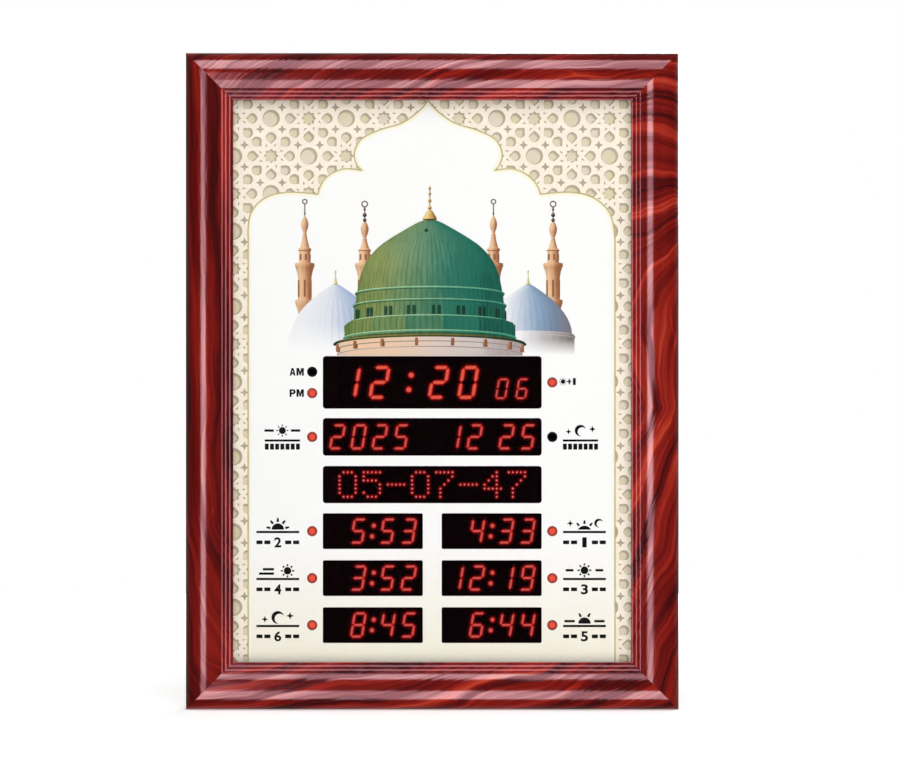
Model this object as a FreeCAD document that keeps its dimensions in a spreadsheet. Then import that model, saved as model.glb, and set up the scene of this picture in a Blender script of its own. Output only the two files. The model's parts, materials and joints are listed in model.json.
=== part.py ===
import FreeCAD, Part
import math
import os
import re
import Sketcher

# Wall-hung prayer-time clock: a moulded picture frame holds a glazed, printed face panel with
# cut-out windows; behind it sit red LED displays on one board, carried by the back cover.
#
# Frame of the model, millimetres: +X right, +Z up, the face looks along -Y. The origin is at the
# centre of the wall plane, the plane that the rear faces of the four wall bumpers share.
# "out" below means the distance forward from the rear plane of the frame, so y = -(bumper + out).

doc = FreeCAD.newDocument("AzanClock")
sheet = doc.addObject("Spreadsheet::Sheet", "Sizes")

SIZES = [
    # outer frame
    ("frame_wide", 380.0, "frame, overall width"),
    ("frame_tall", 506.0, "frame, overall height"),
    ("rail_face", 36.0, "visible width of a rail"),
    ("rail_deep", 32.0, "rail depth, rear plane to crest"),
    ("side_drop", 11.5, "crest down to the top of the straight outer side"),
    ("crest_in", 13.0, "crest, in from the outer edge"),
    ("crest_drop", 3.4, "crest down to the shoulder"),
    ("outer_round", 14.0, "radius of the outer round"),
    ("crown_round", 27.0, "radius of the crown behind the crest"),
    ("reed_wide", 2.8, "width of one of the three reeds"),
    ("reed_round", 2.4, "radius of a reed"),
    ("reed_drop", 0.4, "fall of each reed"),
    ("shoulder_step", 1.0, "step from the shoulder to the first reed"),
    ("lip_thick", 2.4, "thickness of the lip over the glass"),
    ("lip_over", 7.0, "overlap of the lip on the glass"),
    ("cover_ledge", 7.0, "width of the ledge that the back cover lies on"),
    ("bumper_tall", 4.0, "height of a wall bumper"),
    ("bumper_round", 5.0, "radius of a wall bumper"),
    ("bumper_in", 11.0, "bumper centre, in from the outer edges"),
    ("nail_in", 17.5, "corner nail, in from the outer edges"),
    ("nail_leg", 9.0, "leg of a corner nail"),
    ("nail_thick", 0.8, "thickness of a corner nail"),
    ("nail_deep", 7.0, "depth of a corner nail"),
    # stack behind the lip
    ("rebate_gap", 0.3, "side clearance of the glass and the sheets in the rebate"),
    ("glass_thick", 2.0, "front glass"),
    ("gasket_thick", 1.2, "glazing gasket between glass and face panel"),
    ("gasket_wide", 5.6, "width of the glazing gasket"),
    ("panel_thick", 1.0, "face panel"),
    ("filter_thick", 0.5, "smoke filter behind the windows"),
    ("filter_wide", 200.0, "width of the smoke filter"),
    ("filter_edge", 10.0, "smoke filter beyond the time window, above"),
    ("filter_up", 5.0, "smoke filter, lower edge above that of the opening"),
    ("segment_gap", 0.2, "air gap between segments and filter"),
    ("segment_thick", 0.3, "raised light windows on the displays"),
    ("case_deep", 8.0, "depth of a display case"),
    ("board_thick", 1.6, "circuit board"),
    ("spacer_wide", 4.8, "width of the packing strips round the stack"),
    ("cover_thick", 2.2, "back cover"),
    ("cover_gap", 0.3, "clearance round the back cover"),
    # windows of the face panel
    ("window_wide", 168.8, "width of the full windows"),
    ("window_round", 1.2, "corner radius of the windows"),
    ("time_up", 216.05, "time window, centre above the lower edge of the opening"),
    ("time_tall", 40.5, "height of the time window"),
    ("date_up", 174.0, "date window, centre above the lower edge of the opening"),
    ("date_tall", 29.0, "height of the date window"),
    ("matrix_up", 137.2, "dot matrix window, centre above the lower edge of the opening"),
    ("matrix_tall", 28.7, "height of the dot matrix window"),
    ("row_up", 28.8, "lowest row of prayer windows, centre above the lower edge of the opening"),
    ("row_pitch", 36.25, "distance between the rows of prayer windows"),
    ("row_tall", 27.6, "height of a prayer window"),
    ("row_gap", 14.5, "gap between the left and the right prayer windows"),
    ("lamp_x", 92.6, "lamp columns, out from the centre"),
    ("lamp_window", 8.0, "diameter of a lamp window"),
    ("morning_rise", 8.15, "lamp for the hours before noon, above the centre of the time window"),
    ("evening_drop", 8.25, "lamp for the hours after noon, below the centre of the time window"),
    ("lamp_round", 2.5, "radius of a lamp"),
    ("lamp_rim", 0.4, "rim of a lamp beyond its radius"),
    ("lamp_foot", 1.0, "height of the rim of a lamp"),
    # displays
    ("slant", 9.5, "slant of the digits in degrees"),
    ("bar_gap", 0.25, "gap at each end of a segment"),
    ("main_tall", 26.0, "height of the hour and minute digits"),
    ("main_wide", 13.8, "width of the hour and minute digits"),
    ("main_bar", 3.0, "segment width of the hour and minute digits"),
    ("main_pitch", 22.75, "pitch of the hour and minute digits"),
    ("hour_in", 52.05, "centre of the hour pair, left of the middle"),
    ("minute_x", 16.4, "centre of the minute pair"),
    ("colon_in", 17.2, "centre of the colon, left of the middle"),
    ("colon_rise", 5.6, "colon dots above and below their centre"),
    ("colon_dot", 4.4, "diameter of a colon dot"),
    ("colon_edge", 0.8, "case of the colon beyond its dots"),
    ("second_tall", 16.2, "height of the seconds digits"),
    ("second_wide", 8.6, "width of the seconds digits"),
    ("second_bar", 1.6, "segment width of the seconds digits"),
    ("second_pitch", 15.5, "pitch of the seconds digits"),
    ("second_x", 61.65, "centre of the seconds pair"),
    ("small_tall", 19.8, "height of the date and prayer digits"),
    ("small_wide", 10.4, "width of the date and prayer digits"),
    ("small_bar", 2.0, "segment width of the date and prayer digits"),
    ("small_pitch", 16.4, "pitch of the date and prayer digits"),
    ("year_in", 48.6, "centre of the year digits, left of the middle"),
    ("month_x", 24.6, "centre of the month digits"),
    ("day_x", 65.6, "centre of the day digits"),
    ("group_x", 45.8, "centre of a prayer group, out from the middle"),
    ("pair_shift", 19.45, "centre of a pair from the centre of its group"),
    ("small_rise", 4.1, "dots of a small colon above and below the centre"),
    ("small_dot", 3.5, "diameter of a dot of a small colon"),
    ("case_edge", 3.2, "display case beyond the digits, above and below"),
    ("case_side", 2.6, "display case beyond the digits at each side"),
    ("dot_pitch_x", 3.11, "column pitch of the dot matrix"),
    ("dot_pitch_z", 3.15, "row pitch of the dot matrix"),
    ("dot_wide", 2.2, "diameter of a matrix dot"),
    ("module_gap", 0.3, "gap between the dot matrix modules"),
    ("module_edge", 2.8, "dot matrix module beyond its dots, above and below"),
    ("sensor_wide", 6.0, "infrared receiver, width"),
    ("sensor_tall", 7.0, "infrared receiver, height"),
    ("sensor_deep", 5.4, "infrared receiver, depth"),
    ("lens_round", 2.6, "radius of the receiver's lens"),
    ("lens_tall", 1.6, "height of the receiver's lens"),
    ("sensor_in", 7.4, "infrared receiver, in from the corner of the time window"),
    # board and what is behind it
    ("board_wide", 200.0, "circuit board, width"),
    ("board_edge", 4.7, "board beyond the time window, above"),
    ("board_up", 11.0, "board, lower edge above that of the opening"),
    ("boss_in", 4.2, "boss centre, in from the edge of the board"),
    ("boss_round", 3.4, "radius of a boss"),
    ("boss_floor", 0.6, "screw tip above the floor of its boss"),
    ("screw_round", 1.3, "radius of a screw's shank"),
    ("screw_gap", 0.1, "clearance of a shank in its hole"),
    ("head_round", 2.9, "radius of a screw head"),
    ("head_tall", 1.3, "height of a screw head"),
    ("screw_long", 9.0, "length of a shank under its head"),
    ("slot_wide", 0.8, "width of a screwdriver slot"),
    ("slot_deep", 0.6, "depth of a screwdriver slot"),
    ("side_screw_pitch", 160.0, "pitch of the cover screws along the sides"),
    ("end_screw_pitch", 220.0, "pitch of the cover screws along the ends"),
    # speaker
    ("speaker_down", 95.0, "speaker centre below the upper edge of the opening"),
    ("speaker_round", 33.0, "radius of the speaker flange"),
    ("flange_thick", 1.2, "speaker flange"),
    ("basket_thick", 0.9, "sheet of the speaker basket"),
    ("cone_round", 25.5, "radius of the cone at its surround"),
    ("cone_deep", 5.6, "depth of the speaker cone"),
    ("magnet_round", 16.0, "radius of the magnet"),
    ("magnet_tall", 6.0, "height of the magnet"),
    ("grille_hole", 3.0, "diameter of a grille hole"),
    ("grille_pitch", 6.2, "pitch of the grille holes"),
    ("ear_in", 3.3, "speaker screw, in from the edge of the flange"),
    ("nut_round", 2.3, "radius of a speaker nut"),
    ("nut_tall", 1.8, "height of a speaker nut"),
    ("tag_wide", 8.0, "terminal tag of the speaker, width"),
    ("tag_tall", 4.0, "terminal tag of the speaker, height"),
    # power inlet
    ("bay_x", 78.0, "power bay, centre to the right"),
    ("bay_up", 16.4, "power bay above the board"),
    ("bay_wide", 24.0, "power bay, width"),
    ("bay_tall", 44.0, "power bay, height"),
    ("bay_deep", 12.0, "power bay, depth"),
    ("bay_wall", 1.6, "wall of the power bay"),
    ("jack_wide", 9.0, "power inlet, width and depth"),
    ("jack_tall", 13.0, "power inlet, length"),
    ("jack_bore", 3.1, "radius of the power inlet's bore"),
    ("jack_pin", 1.0, "radius of the power inlet's pin"),
    ("jack_wall", 3.0, "wall behind the bore of the power inlet"),
    ("nozzle_wall", 0.5, "wall of the nozzle round the bore"),
    ("nozzle_gap", 0.1, "clearance of the nozzle in the wall of the bay"),
    # leads inside the case
    ("socket_x", 44.0, "socket of the power lead on the board"),
    ("socket_pitch", 56.0, "from the socket of the power lead to that of the speaker lead"),
    ("socket_wide", 7.4, "lead socket, width"),
    ("socket_tall", 6.0, "lead socket, height"),
    ("socket_deep", 5.0, "lead socket, depth"),
    ("socket_in", 1.5, "lead socket, in from the edge of the board"),
    ("lead_round", 1.1, "radius of a lead inside the case"),
    ("lead_clear", 4.0, "a lead's distance from what it passes"),
    # keys
    ("key_up", 49.0, "row of keys above the lower edge of the opening"),
    ("key_pitch", 16.0, "pitch of the keys"),
    ("key_round", 2.4, "radius of a key"),
    ("key_gap", 0.25, "clearance round a key"),
    ("key_proud", 0.8, "key beyond the cover"),
    ("key_flange", 1.1, "flange of a key beyond its radius"),
    ("key_flange_thick", 1.0, "thickness of the flange of a key"),
    ("key_stem", 1.5, "radius of the stem of a key"),
    ("key_play", 0.2, "play of a key at each end"),
    ("key_travel", 0.5, "travel of a key"),
    ("switch_wide", 6.0, "tact switch, side"),
    ("switch_tall", 3.4, "tact switch, height"),
    # coin cell
    ("cell_in", 52.0, "coin cell, centre left of the middle"),
    ("cell_up", 121.0, "coin cell, centre above the lower edge of the opening"),
    ("cell_round", 10.0, "radius of the coin cell"),
    ("cell_thick", 3.2, "thickness of the coin cell"),
    ("cell_play", 0.2, "play of the coin cell in its holder"),
    ("holder_wall", 1.7, "wall of the cell holder"),
    ("holder_floor", 0.6, "floor of the cell holder"),
    ("lid_round", 12.4, "radius of the lid in its hole"),
    ("lid_rim", 1.4, "rim of the lid beyond the reach of its lugs"),
    ("lid_thick", 1.0, "thickness of the rim"),
    ("lid_gap", 0.3, "clearance of the lid in its hole and over its lugs"),
    ("lid_seat", 0.1, "rim of the lid above the cover"),
    ("lid_wall", 1.2, "wall and floor of the lid"),
    ("coin_slot", 17.0, "length of the coin slot in the lid"),
    ("coin_slot_wide", 1.6, "width of the coin slot"),
    ("coin_slot_deep", 0.7, "depth of the coin slot"),
    ("lug_long", 2.4, "reach of a lid lug"),
    ("lug_wide", 6.0, "width of a lid lug"),
    ("lug_thick", 1.0, "thickness of a lid lug"),
    # chips and capacitors
    ("chip_wide", 20.0, "driver chip, length"),
    ("chip_tall", 7.6, "driver chip, width"),
    ("chip_deep", 2.4, "driver chip, height"),
    ("chip_x", 10.0, "middle driver chip, right of the middle"),
    ("chip_pitch", 34.0, "pitch of the driver chips"),
    ("processor_wide", 13.0, "side of the processor"),
    ("can_x", 70.0, "first capacitor, right of the middle"),
    ("can_round", 3.15, "radius of a capacitor"),
    ("can_tall", 5.6, "height of a capacitor"),
    # hangers
    ("hanger_down", 85.0, "hinge of the hanging rings below the top of the frame"),
    ("hanger_in", 11.0, "hanging rings, in from the outer edge"),
    ("strap_wide", 12.0, "width of a hanger strap"),
    ("strap_long", 30.0, "length of a hanger strap below its hinge"),
    ("strap_thick", 0.8, "thickness of a hanger strap"),
    ("strap_screw", 22.0, "hanger screw below the hinge"),
    ("wire_round", 0.95, "radius of the ring wire"),
    ("eye_gap", 0.1, "clearance of the wire in the eye"),
    ("ring_bend", 2.0, "bend of the ring at the ends of its bar"),
    ("ring_round", 9.2, "radius of the ring's bow"),
    # ventilation
    ("vent_wide", 3.0, "width of a ventilation slot"),
    ("vent_long", 22.0, "length of a ventilation slot"),
    ("vent_pitch", 9.0, "pitch of the ventilation slots"),
    ("vent_down", 21.0, "ventilation slots, centre below the upper edge of the opening"),
]

ALIASES = set()
for row, (alias, value, note) in enumerate(SIZES, start=1):
    sheet.set("A%d" % row, note)
    sheet.set("B%d" % row, str(value))
    sheet.setAlias("B%d" % row, alias)
    ALIASES.add(alias)
doc.recompute()

# places that follow from the sizes; these names are used in expressions like those of the cells
PLACES = {
    "opening_low": "(rail_face - frame_tall / 2)",
    "opening_top": "(frame_tall / 2 - rail_face)",
    "time_z": "(opening_low + time_up)",
    "date_z": "(opening_low + date_up)",
    "matrix_z": "(opening_low + matrix_up)",
    "board_top": "(time_z + time_tall / 2 + board_edge)",
    "board_low": "(opening_low + board_up)",
    "key_z": "(opening_low + key_up)",
    "cell_z": "(opening_low + cell_up)",
    "cell_x": "(-cell_in)",
    "hour_x": "(-hour_in)",
    "colon_x": "(-colon_in)",
    "year_x": "(-year_in)",
    "speaker_z": "(opening_top - speaker_down)",
    "vent_z": "(opening_top - vent_down)",
    "bay_z": "(board_top + bay_up + bay_wall + bay_tall / 2)",
    "hanger_z": "(frame_tall / 2 - hanger_down)",
}

probe = doc.addObject("Part::Box", "Probe")


def ex(text):
    """The expression with each place written out and each size's name pointing at its cell."""

    def cell(match):
        word = match.group(0)
        if word in PLACES:
            return ex(PLACES[word])
        return "Sizes." + word if word in ALIASES else word

    return re.sub(r"[A-Za-z_][A-Za-z_0-9]*", cell, str(text))


def num(text):
    """The number that an expression of the sizes gives now."""
    return float(probe.evalExpression(ex(text)))


def bind(obj, prop, text):
    obj.setExpression(prop, ex(text))


def at(obj, x, y, z):
    bind(obj, "Placement.Base.x", x)
    bind(obj, "Placement.Base.y", y)
    bind(obj, "Placement.Base.z", z)


def y_of(out):
    """The y of a plane that lies `out` in front of the frame's rear plane."""
    return "(-(bumper_tall) - (%s))" % out


V = FreeCAD.Vector
FORWARD = FreeCAD.Rotation(V(1, 0, 0), 90)
NODES = {}


def node(obj, name):
    obj.Label = name
    NODES[name] = obj
    return obj


# ---------------------------------------------------------------- primitives


def block(name, x0, x1, out0, out1, z0, z1):
    """A box between two x, two distances from the rear plane and two z."""
    b = doc.addObject("Part::Box", name)
    bind(b, "Length", "(%s) - (%s)" % (x1, x0))
    bind(b, "Width", "(%s) - (%s)" % (out1, out0))
    bind(b, "Height", "(%s) - (%s)" % (z1, z0))
    at(b, x0, y_of(out1), z0)
    return b


def pin(name, x, z, radius, out0, out1):
    """A round bar along the depth, from out0 forward to out1."""
    c = doc.addObject("Part::Cylinder", name)
    c.Placement = FreeCAD.Placement(V(0, 0, 0), FORWARD)
    bind(c, "Radius", radius)
    bind(c, "Height", "(%s) - (%s)" % (out1, out0))
    at(c, x, y_of(out0), z)
    return c


def fuse(name, shapes):
    f = doc.addObject("Part::MultiFuse", name)
    f.Shapes = shapes
    return f


def cut(name, base, tools):
    c = doc.addObject("Part::Cut", name)
    c.Base = base
    c.Tool = tools[0] if len(tools) == 1 else fuse(name + "Tools", tools)
    return c


def group(name, parts):
    """Several equal pieces that make one sub-part."""
    g = doc.addObject("Part::Compound", name)
    g.Links = parts
    return g


# ---------------------------------------------------------------- sketches


def corner_points(points):
    return [V(num(p[0]), num(p[1]), 0) for p in points]


def add_loop(sk, points):
    """A closed loop; a point is (x, y), or (x, y, radius, side) when an arc starts there.

    side is +1 when the arc bulges to the left of its chord and -1 to the right.
    """
    pts = corner_points(points)
    geo = []
    for i, p in enumerate(points):
        a = pts[i]
        b = pts[(i + 1) % len(pts)]
        if len(p) == 2:
            geo.append(Part.LineSegment(a, b))
            continue
        radius = num(p[2])
        chord = b - a
        half = chord.Length / 2
        rise = radius - math.sqrt(max(radius * radius - half * half, 0.0))
        left = V(-chord.y, chord.x, 0).normalize()
        geo.append(Part.Arc(a, (a + b) / 2 + left * rise * p[3], b))
    first = sk.GeometryCount
    sk.addGeometry(geo, False)
    ends = []
    for i in range(len(points)):
        start = sk.getPoint(first + i, 1)
        near = (start - pts[i]).Length < 1e-5
        ends.append((1, 2) if near else (2, 1))
    made = []
    binds = []
    for i, p in enumerate(points):
        g = first + i
        prev = first + (i - 1) % len(points)
        made.append(Sketcher.Constraint("Coincident", prev, ends[i - 1][1], g, ends[i][0]))
        made.append(Sketcher.Constraint("DistanceX", -1, 1, g, ends[i][0], pts[i].x))
        binds.append((len(made) - 1, p[0]))
        made.append(Sketcher.Constraint("DistanceY", -1, 1, g, ends[i][0], pts[i].y))
        binds.append((len(made) - 1, p[1]))
        if len(p) > 2:
            made.append(Sketcher.Constraint("Radius", g, num(p[2])))
            binds.append((len(made) - 1, p[2]))
    base = sk.ConstraintCount
    sk.addConstraint(made)
    for index, text in binds:
        bind(sk, "Constraints[%d]" % (base + index), text)


def add_circle(sk, x, y, radius):
    g = sk.addGeometry(Part.Circle(V(num(x), num(y), 0), V(0, 0, 1), num(radius)), False)
    base = sk.ConstraintCount
    sk.addConstraint(
        [
            Sketcher.Constraint("DistanceX", -1, 1, g, 3, num(x)),
            Sketcher.Constraint("DistanceY", -1, 1, g, 3, num(y)),
            Sketcher.Constraint("Radius", g, num(radius)),
        ]
    )
    bind(sk, "Constraints[%d]" % base, x)
    bind(sk, "Constraints[%d]" % (base + 1), y)
    bind(sk, "Constraints[%d]" % (base + 2), radius)


def rect(x0, y0, x1, y1):
    return [(x0, y0), (x1, y0), (x1, y1), (x0, y1)]


def soft_rect(x0, y0, x1, y1, r):
    """A rectangle with round corners, drawn anticlockwise."""
    xa = "(%s) + (%s)" % (x0, r)
    xb = "(%s) - (%s)" % (x1, r)
    ya = "(%s) + (%s)" % (y0, r)
    yb = "(%s) - (%s)" % (y1, r)
    return [
        (xa, y0),
        (xb, y0, r, -1),
        (x1, ya),
        (x1, yb, r, -1),
        (xb, y1),
        (xa, y1, r, -1),
        (x0, yb),
        (x0, ya, r, -1),
    ]


def sketch(body, name, role, loops=(), circles=(), offset=None):
    sk = body.newObject("Sketcher::SketchObject", name)
    plane = next(f for f in body.Origin.OriginFeatures if f.Role == role)
    sk.AttachmentSupport = [(plane, "")]
    sk.MapMode = "FlatFace"
    if offset is not None:
        bind(sk, "AttachmentOffset.Base.z", offset)
    for loop in loops:
        add_loop(sk, loop)
    for circle in circles:
        add_circle(sk, *circle)
    return sk


def new_body(name):
    body = doc.addObject("PartDesign::Body", name)
    body.AllowCompound = True
    return body


def pad(body, name, sk, length, midplane=False):
    p = body.newObject("PartDesign::Pad", name)
    p.Profile = sk
    if midplane:
        p.SideType = "Symmetric"
    bind(p, "Length", length)
    body.Tip = p
    return p


def pocket(body, name, sk, length):
    """A pocket that is checked to take material away."""
    doc.recompute()
    before = body.Shape.Volume
    p = body.newObject("PartDesign::Pocket", name)
    p.Profile = sk
    bind(p, "Length", length)
    body.Tip = p
    doc.recompute()
    if not body.Shape.Volume < before - 1e-3:
        raise RuntimeError("%s cuts nothing" % name)
    return p


def revolve(body, name, sk):
    r = body.newObject("PartDesign::Revolution", name)
    r.Profile = sk
    r.ReferenceAxis = (sk, ["V_Axis"])
    r.Angle = 360
    body.Tip = r
    return r


def turned(name, loop, x, out, z):
    """A round piece turned about an axis along the depth; the loop is (radius, out) pairs."""
    body = new_body(name)
    flipped = [(p[0], "-(%s)" % p[1]) + tuple(p[2:]) for p in loop]
    sk = sketch(body, name + "Profile", "XY_Plane", [flipped])
    revolve(body, name + "Turn", sk)
    at(body, x, y_of(out), z)
    return body


def sheet_part(name, loops, circles, out0, thick):
    """A flat sheet whose rear face lies at out0."""
    body = new_body(name)
    offset = "bumper_tall + (%s)" % out0
    sk = sketch(body, name + "Outline", "XZ_Plane", loops, circles, offset)
    pad(body, name + "Pad", sk, thick)
    return body


# ---------------------------------------------------------------- levels and outlines

HALF_W = "(frame_wide / 2)"
HALF_T = "(frame_tall / 2)"
SHOULDER = "(rail_deep - crest_drop)"
REEDS = "(rail_deep - crest_drop - shoulder_step)"
SHOULDER_IN = "(rail_face - 3 * reed_wide)"
LIP = "(rail_deep - crest_drop - shoulder_step - 3 * reed_drop - lip_thick)"
REBATE_IN = "(rail_face - lip_over)"
COVER_IN = "(rail_face - lip_over - cover_ledge)"

GLASS = "(%s - glass_thick)" % LIP
PANEL_FRONT = "(%s - glass_thick - gasket_thick)" % LIP
PANEL = "(%s - panel_thick)" % PANEL_FRONT
FILTER = "(%s - filter_thick)" % PANEL
SEGMENT_FRONT = "(%s - segment_gap)" % FILTER
CASE_FRONT = "(%s - segment_thick)" % SEGMENT_FRONT
BOARD_FRONT = "(%s - case_deep)" % CASE_FRONT
BOARD = "(%s - board_thick)" % BOARD_FRONT

SHEET_X = "(%s - %s - rebate_gap)" % (HALF_W, REBATE_IN)
SHEET_Z = "(%s - %s - rebate_gap)" % (HALF_T, REBATE_IN)
COVER_X = "(%s - %s - cover_gap)" % (HALF_W, COVER_IN)
COVER_Z = "(%s - %s - cover_gap)" % (HALF_T, COVER_IN)
LEDGE_X = "(%s - %s - cover_ledge / 2)" % (HALF_W, COVER_IN)
LEDGE_Z = "(%s - %s - cover_ledge / 2)" % (HALF_T, COVER_IN)
SCREW_HOLE = "(screw_round + screw_gap)"

# ---------------------------------------------------------------- frame rails


def moulding(sign, half, across_first):
    """Section of a rail; sign is the side that it stands on, half the frame's half size there."""

    def place(u, out):
        across = "%d * (%s - (%s))" % (sign, half, u)
        deep = y_of(out)
        return (across, deep) if across_first else (deep, across)

    # the arcs bulge away from the wood: the side flips with the mirror and with the plane
    turn = sign if across_first else -sign
    reed = []
    for i in range(4):
        reed.append(place("%s + %d * reed_wide" % (SHOULDER_IN, i), "%s - %d * reed_drop" % (REEDS, i)))
    return [
        place("0", "0"),
        place("0", "rail_deep - side_drop") + ("outer_round", turn),
        place("crest_in", "rail_deep") + ("crown_round", turn),
        place(SHOULDER_IN, SHOULDER),
        reed[0] + ("reed_round", turn),
        reed[1] + ("reed_round", turn),
        reed[2] + ("reed_round", turn),
        reed[3],
        place("rail_face", LIP),
        place(REBATE_IN, LIP),
        place(REBATE_IN, "cover_thick"),
        place(COVER_IN, "cover_thick"),
        place(COVER_IN, "0"),
    ]


def mitre(sx, sz, upright):
    """The corner triangle that is sawn off a rail; the saw line runs through the outer corner."""
    over = 3
    far = "rail_face + %d" % over
    corner = ("%d * (%s + %d)" % (sx, HALF_W, over), "%d * (%s + %d)" % (sz, HALF_T, over))
    inner = ("%d * (%s - (%s))" % (sx, HALF_W, far), "%d * (%s - (%s))" % (sz, HALF_T, far))
    if upright:
        third = (inner[0], corner[1])
    else:
        third = (corner[0], inner[1])
    return [corner, inner, third]


def rail(name, side, upright):
    body = new_body(name)
    if upright:
        sk = sketch(body, name + "Section", "XY_Plane", [moulding(side, HALF_W, True)])
        length = "frame_tall"
        saws = [mitre(side, -1, True), mitre(side, 1, True)]
    else:
        sk = sketch(body, name + "Section", "YZ_Plane", [moulding(side, HALF_T, False)])
        length = "frame_wide"
        saws = [mitre(-1, side, False), mitre(1, side, False)]
    pad(body, name + "Length", sk, length, midplane=True)
    sk = sketch(body, name + "Saw", "XZ_Plane", saws, (), "bumper_tall + rail_deep + 1")
    pocket(body, name + "Mitre", sk, "rail_deep + 2")
    if upright:
        spots = [("%d * %s" % (side, LEDGE_X), "%d * side_screw_pitch" % i) for i in (-1, 0, 1)]
    else:
        spots = [("%d * end_screw_pitch / 2" % i, "%d * %s" % (side, LEDGE_Z)) for i in (-1, 1)]
    holes = [(x, z, SCREW_HOLE) for x, z in spots]
    sk = sketch(body, name + "Pilots", "XZ_Plane", (), holes, "bumper_tall + screw_long + 1")
    pocket(body, name + "PilotHoles", sk, "screw_long + 1 - cover_thick + 0.001")
    if upright:
        hanger = ("%d * (%s - hanger_in)" % (side, HALF_W), "hanger_z - strap_screw", SCREW_HOLE)
        sk = sketch(body, name + "Hanger", "XZ_Plane", (), [hanger], "bumper_tall + screw_long + 1")
        pocket(body, name + "HangerHole", sk, "screw_long + 1")
    return node(body, name)


rail("frame_rail_top", 1, False)
rail("frame_rail_bottom", -1, False)
rail("frame_rail_left", -1, True)
rail("frame_rail_right", 1, True)


def nail_outline(sx, sz):
    """An angle nail across a mitre: one leg along each rail."""

    def p(u, w):
        return ("%d * (%s - (%s))" % (sx, HALF_W, u), "%d * (%s - (%s))" % (sz, HALF_T, w))

    a = "nail_in"
    b = "nail_in + nail_thick"
    c = "nail_in + nail_leg"
    return [p(a, a), p(c, a), p(c, b), p(b, b), p(b, c), p(a, c)]


nails = sheet_part(
    "CornerNails",
    [nail_outline(sx, sz) for sx in (-1, 1) for sz in (-1, 1)],
    (),
    "0",
    "nail_deep",
)
node(nails, "corner_nails")

# ---------------------------------------------------------------- glass, gasket, face panel, filter

outline = rect("-" + SHEET_X, "-" + SHEET_Z, SHEET_X, SHEET_Z)
node(sheet_part("FrontGlass", [outline], (), GLASS, "glass_thick"), "front_glass")

hole = rect(
    "-(%s - gasket_wide)" % SHEET_X,
    "-(%s - gasket_wide)" % SHEET_Z,
    "%s - gasket_wide" % SHEET_X,
    "%s - gasket_wide" % SHEET_Z,
)
node(sheet_part("GlazingGasket", [outline, hole], (), PANEL_FRONT, "gasket_thick"), "glazing_gasket")

HALF_WINDOW = "(window_wide / 2)"


def window(x0, x1, z, tall):
    return soft_rect(x0, "%s - %s / 2" % (z, tall), x1, "%s + %s / 2" % (z, tall), "window_round")


def row_level(i):
    return "(opening_low + row_up + %d * row_pitch)" % (2 - i)


windows = [
    window("-" + HALF_WINDOW, HALF_WINDOW, "time_z", "time_tall"),
    window("-" + HALF_WINDOW, HALF_WINDOW, "date_z", "date_tall"),
    window("-" + HALF_WINDOW, HALF_WINDOW, "matrix_z", "matrix_tall"),
]
for i in range(3):
    windows.append(window("-" + HALF_WINDOW, "-row_gap / 2", row_level(i), "row_tall"))
    windows.append(window("row_gap / 2", HALF_WINDOW, row_level(i), "row_tall"))

LAMPS_LIT = [("-lamp_x", "time_z - evening_drop"), ("lamp_x", "time_z"), ("-lamp_x", "date_z")]
LAMPS_DARK = [("-lamp_x", "time_z + morning_rise"), ("lamp_x", "date_z")]
for i in range(3):
    LAMPS_LIT.append(("-lamp_x", row_level(i)))
    LAMPS_LIT.append(("lamp_x", row_level(i)))
lamp_holes = [(x, z, "lamp_window / 2") for x, z in LAMPS_LIT + LAMPS_DARK]
panel = sheet_part("FacePanel", [outline] + windows, lamp_holes, PANEL, "panel_thick")
node(panel, "face_panel")

FILTER_TOP = "time_z + time_tall / 2 + filter_edge"
filter_outline = rect("-filter_wide / 2", "opening_low + filter_up", "filter_wide / 2", FILTER_TOP)
node(sheet_part("SmokeFilter", [filter_outline], (), FILTER, "filter_thick"), "smoke_filter")

# packing strips in the rebate press the stack against the lip
strips = []
for side in (-1, 1):
    inner = "%d * (%s - spacer_wide)" % (side, SHEET_X)
    outer = "%d * %s" % (side, SHEET_X)
    lo, hi = (inner, outer) if side > 0 else (outer, inner)
    name = "SideStrip%s" % ("Right" if side > 0 else "Left")
    strips.append(block(name, lo, hi, "cover_thick", PANEL, "-" + SHEET_Z, SHEET_Z))
node(group("SideSpacers", strips), "side_spacers")
strips = []
for side in (-1, 1):
    inner = "%d * (%s - spacer_wide)" % (side, SHEET_Z)
    outer = "%d * %s" % (side, SHEET_Z)
    lo, hi = (inner, outer) if side > 0 else (outer, inner)
    name = "EndStrip%s" % ("Top" if side > 0 else "Bottom")
    edge = "(%s - spacer_wide - rebate_gap)" % SHEET_X
    strips.append(block(name, "-" + edge, edge, "cover_thick", PANEL, lo, hi))
node(group("EndSpacers", strips), "end_spacers")

# ---------------------------------------------------------------- circuit board

BOSS_X = "(board_wide / 2 - boss_in)"
BOSS_ROWS = 4
BOSS_STEP = "((board_top - board_low - 2 * boss_in) / %d)" % (BOSS_ROWS - 1)
BOSSES = []
for s in (-1, 1):
    for i in range(BOSS_ROWS):
        BOSSES.append(("%d * %s" % (s, BOSS_X), "board_low + boss_in + %d * %s" % (i, BOSS_STEP)))

board_outline = rect("-board_wide / 2", "board_low", "board_wide / 2", "board_top")
boss_holes = [(x, z, SCREW_HOLE) for x, z in BOSSES]
node(sheet_part("DisplayBoard", [board_outline], boss_holes, BOARD, "board_thick"), "display_board")


# ---------------------------------------------------------------- displays


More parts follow.
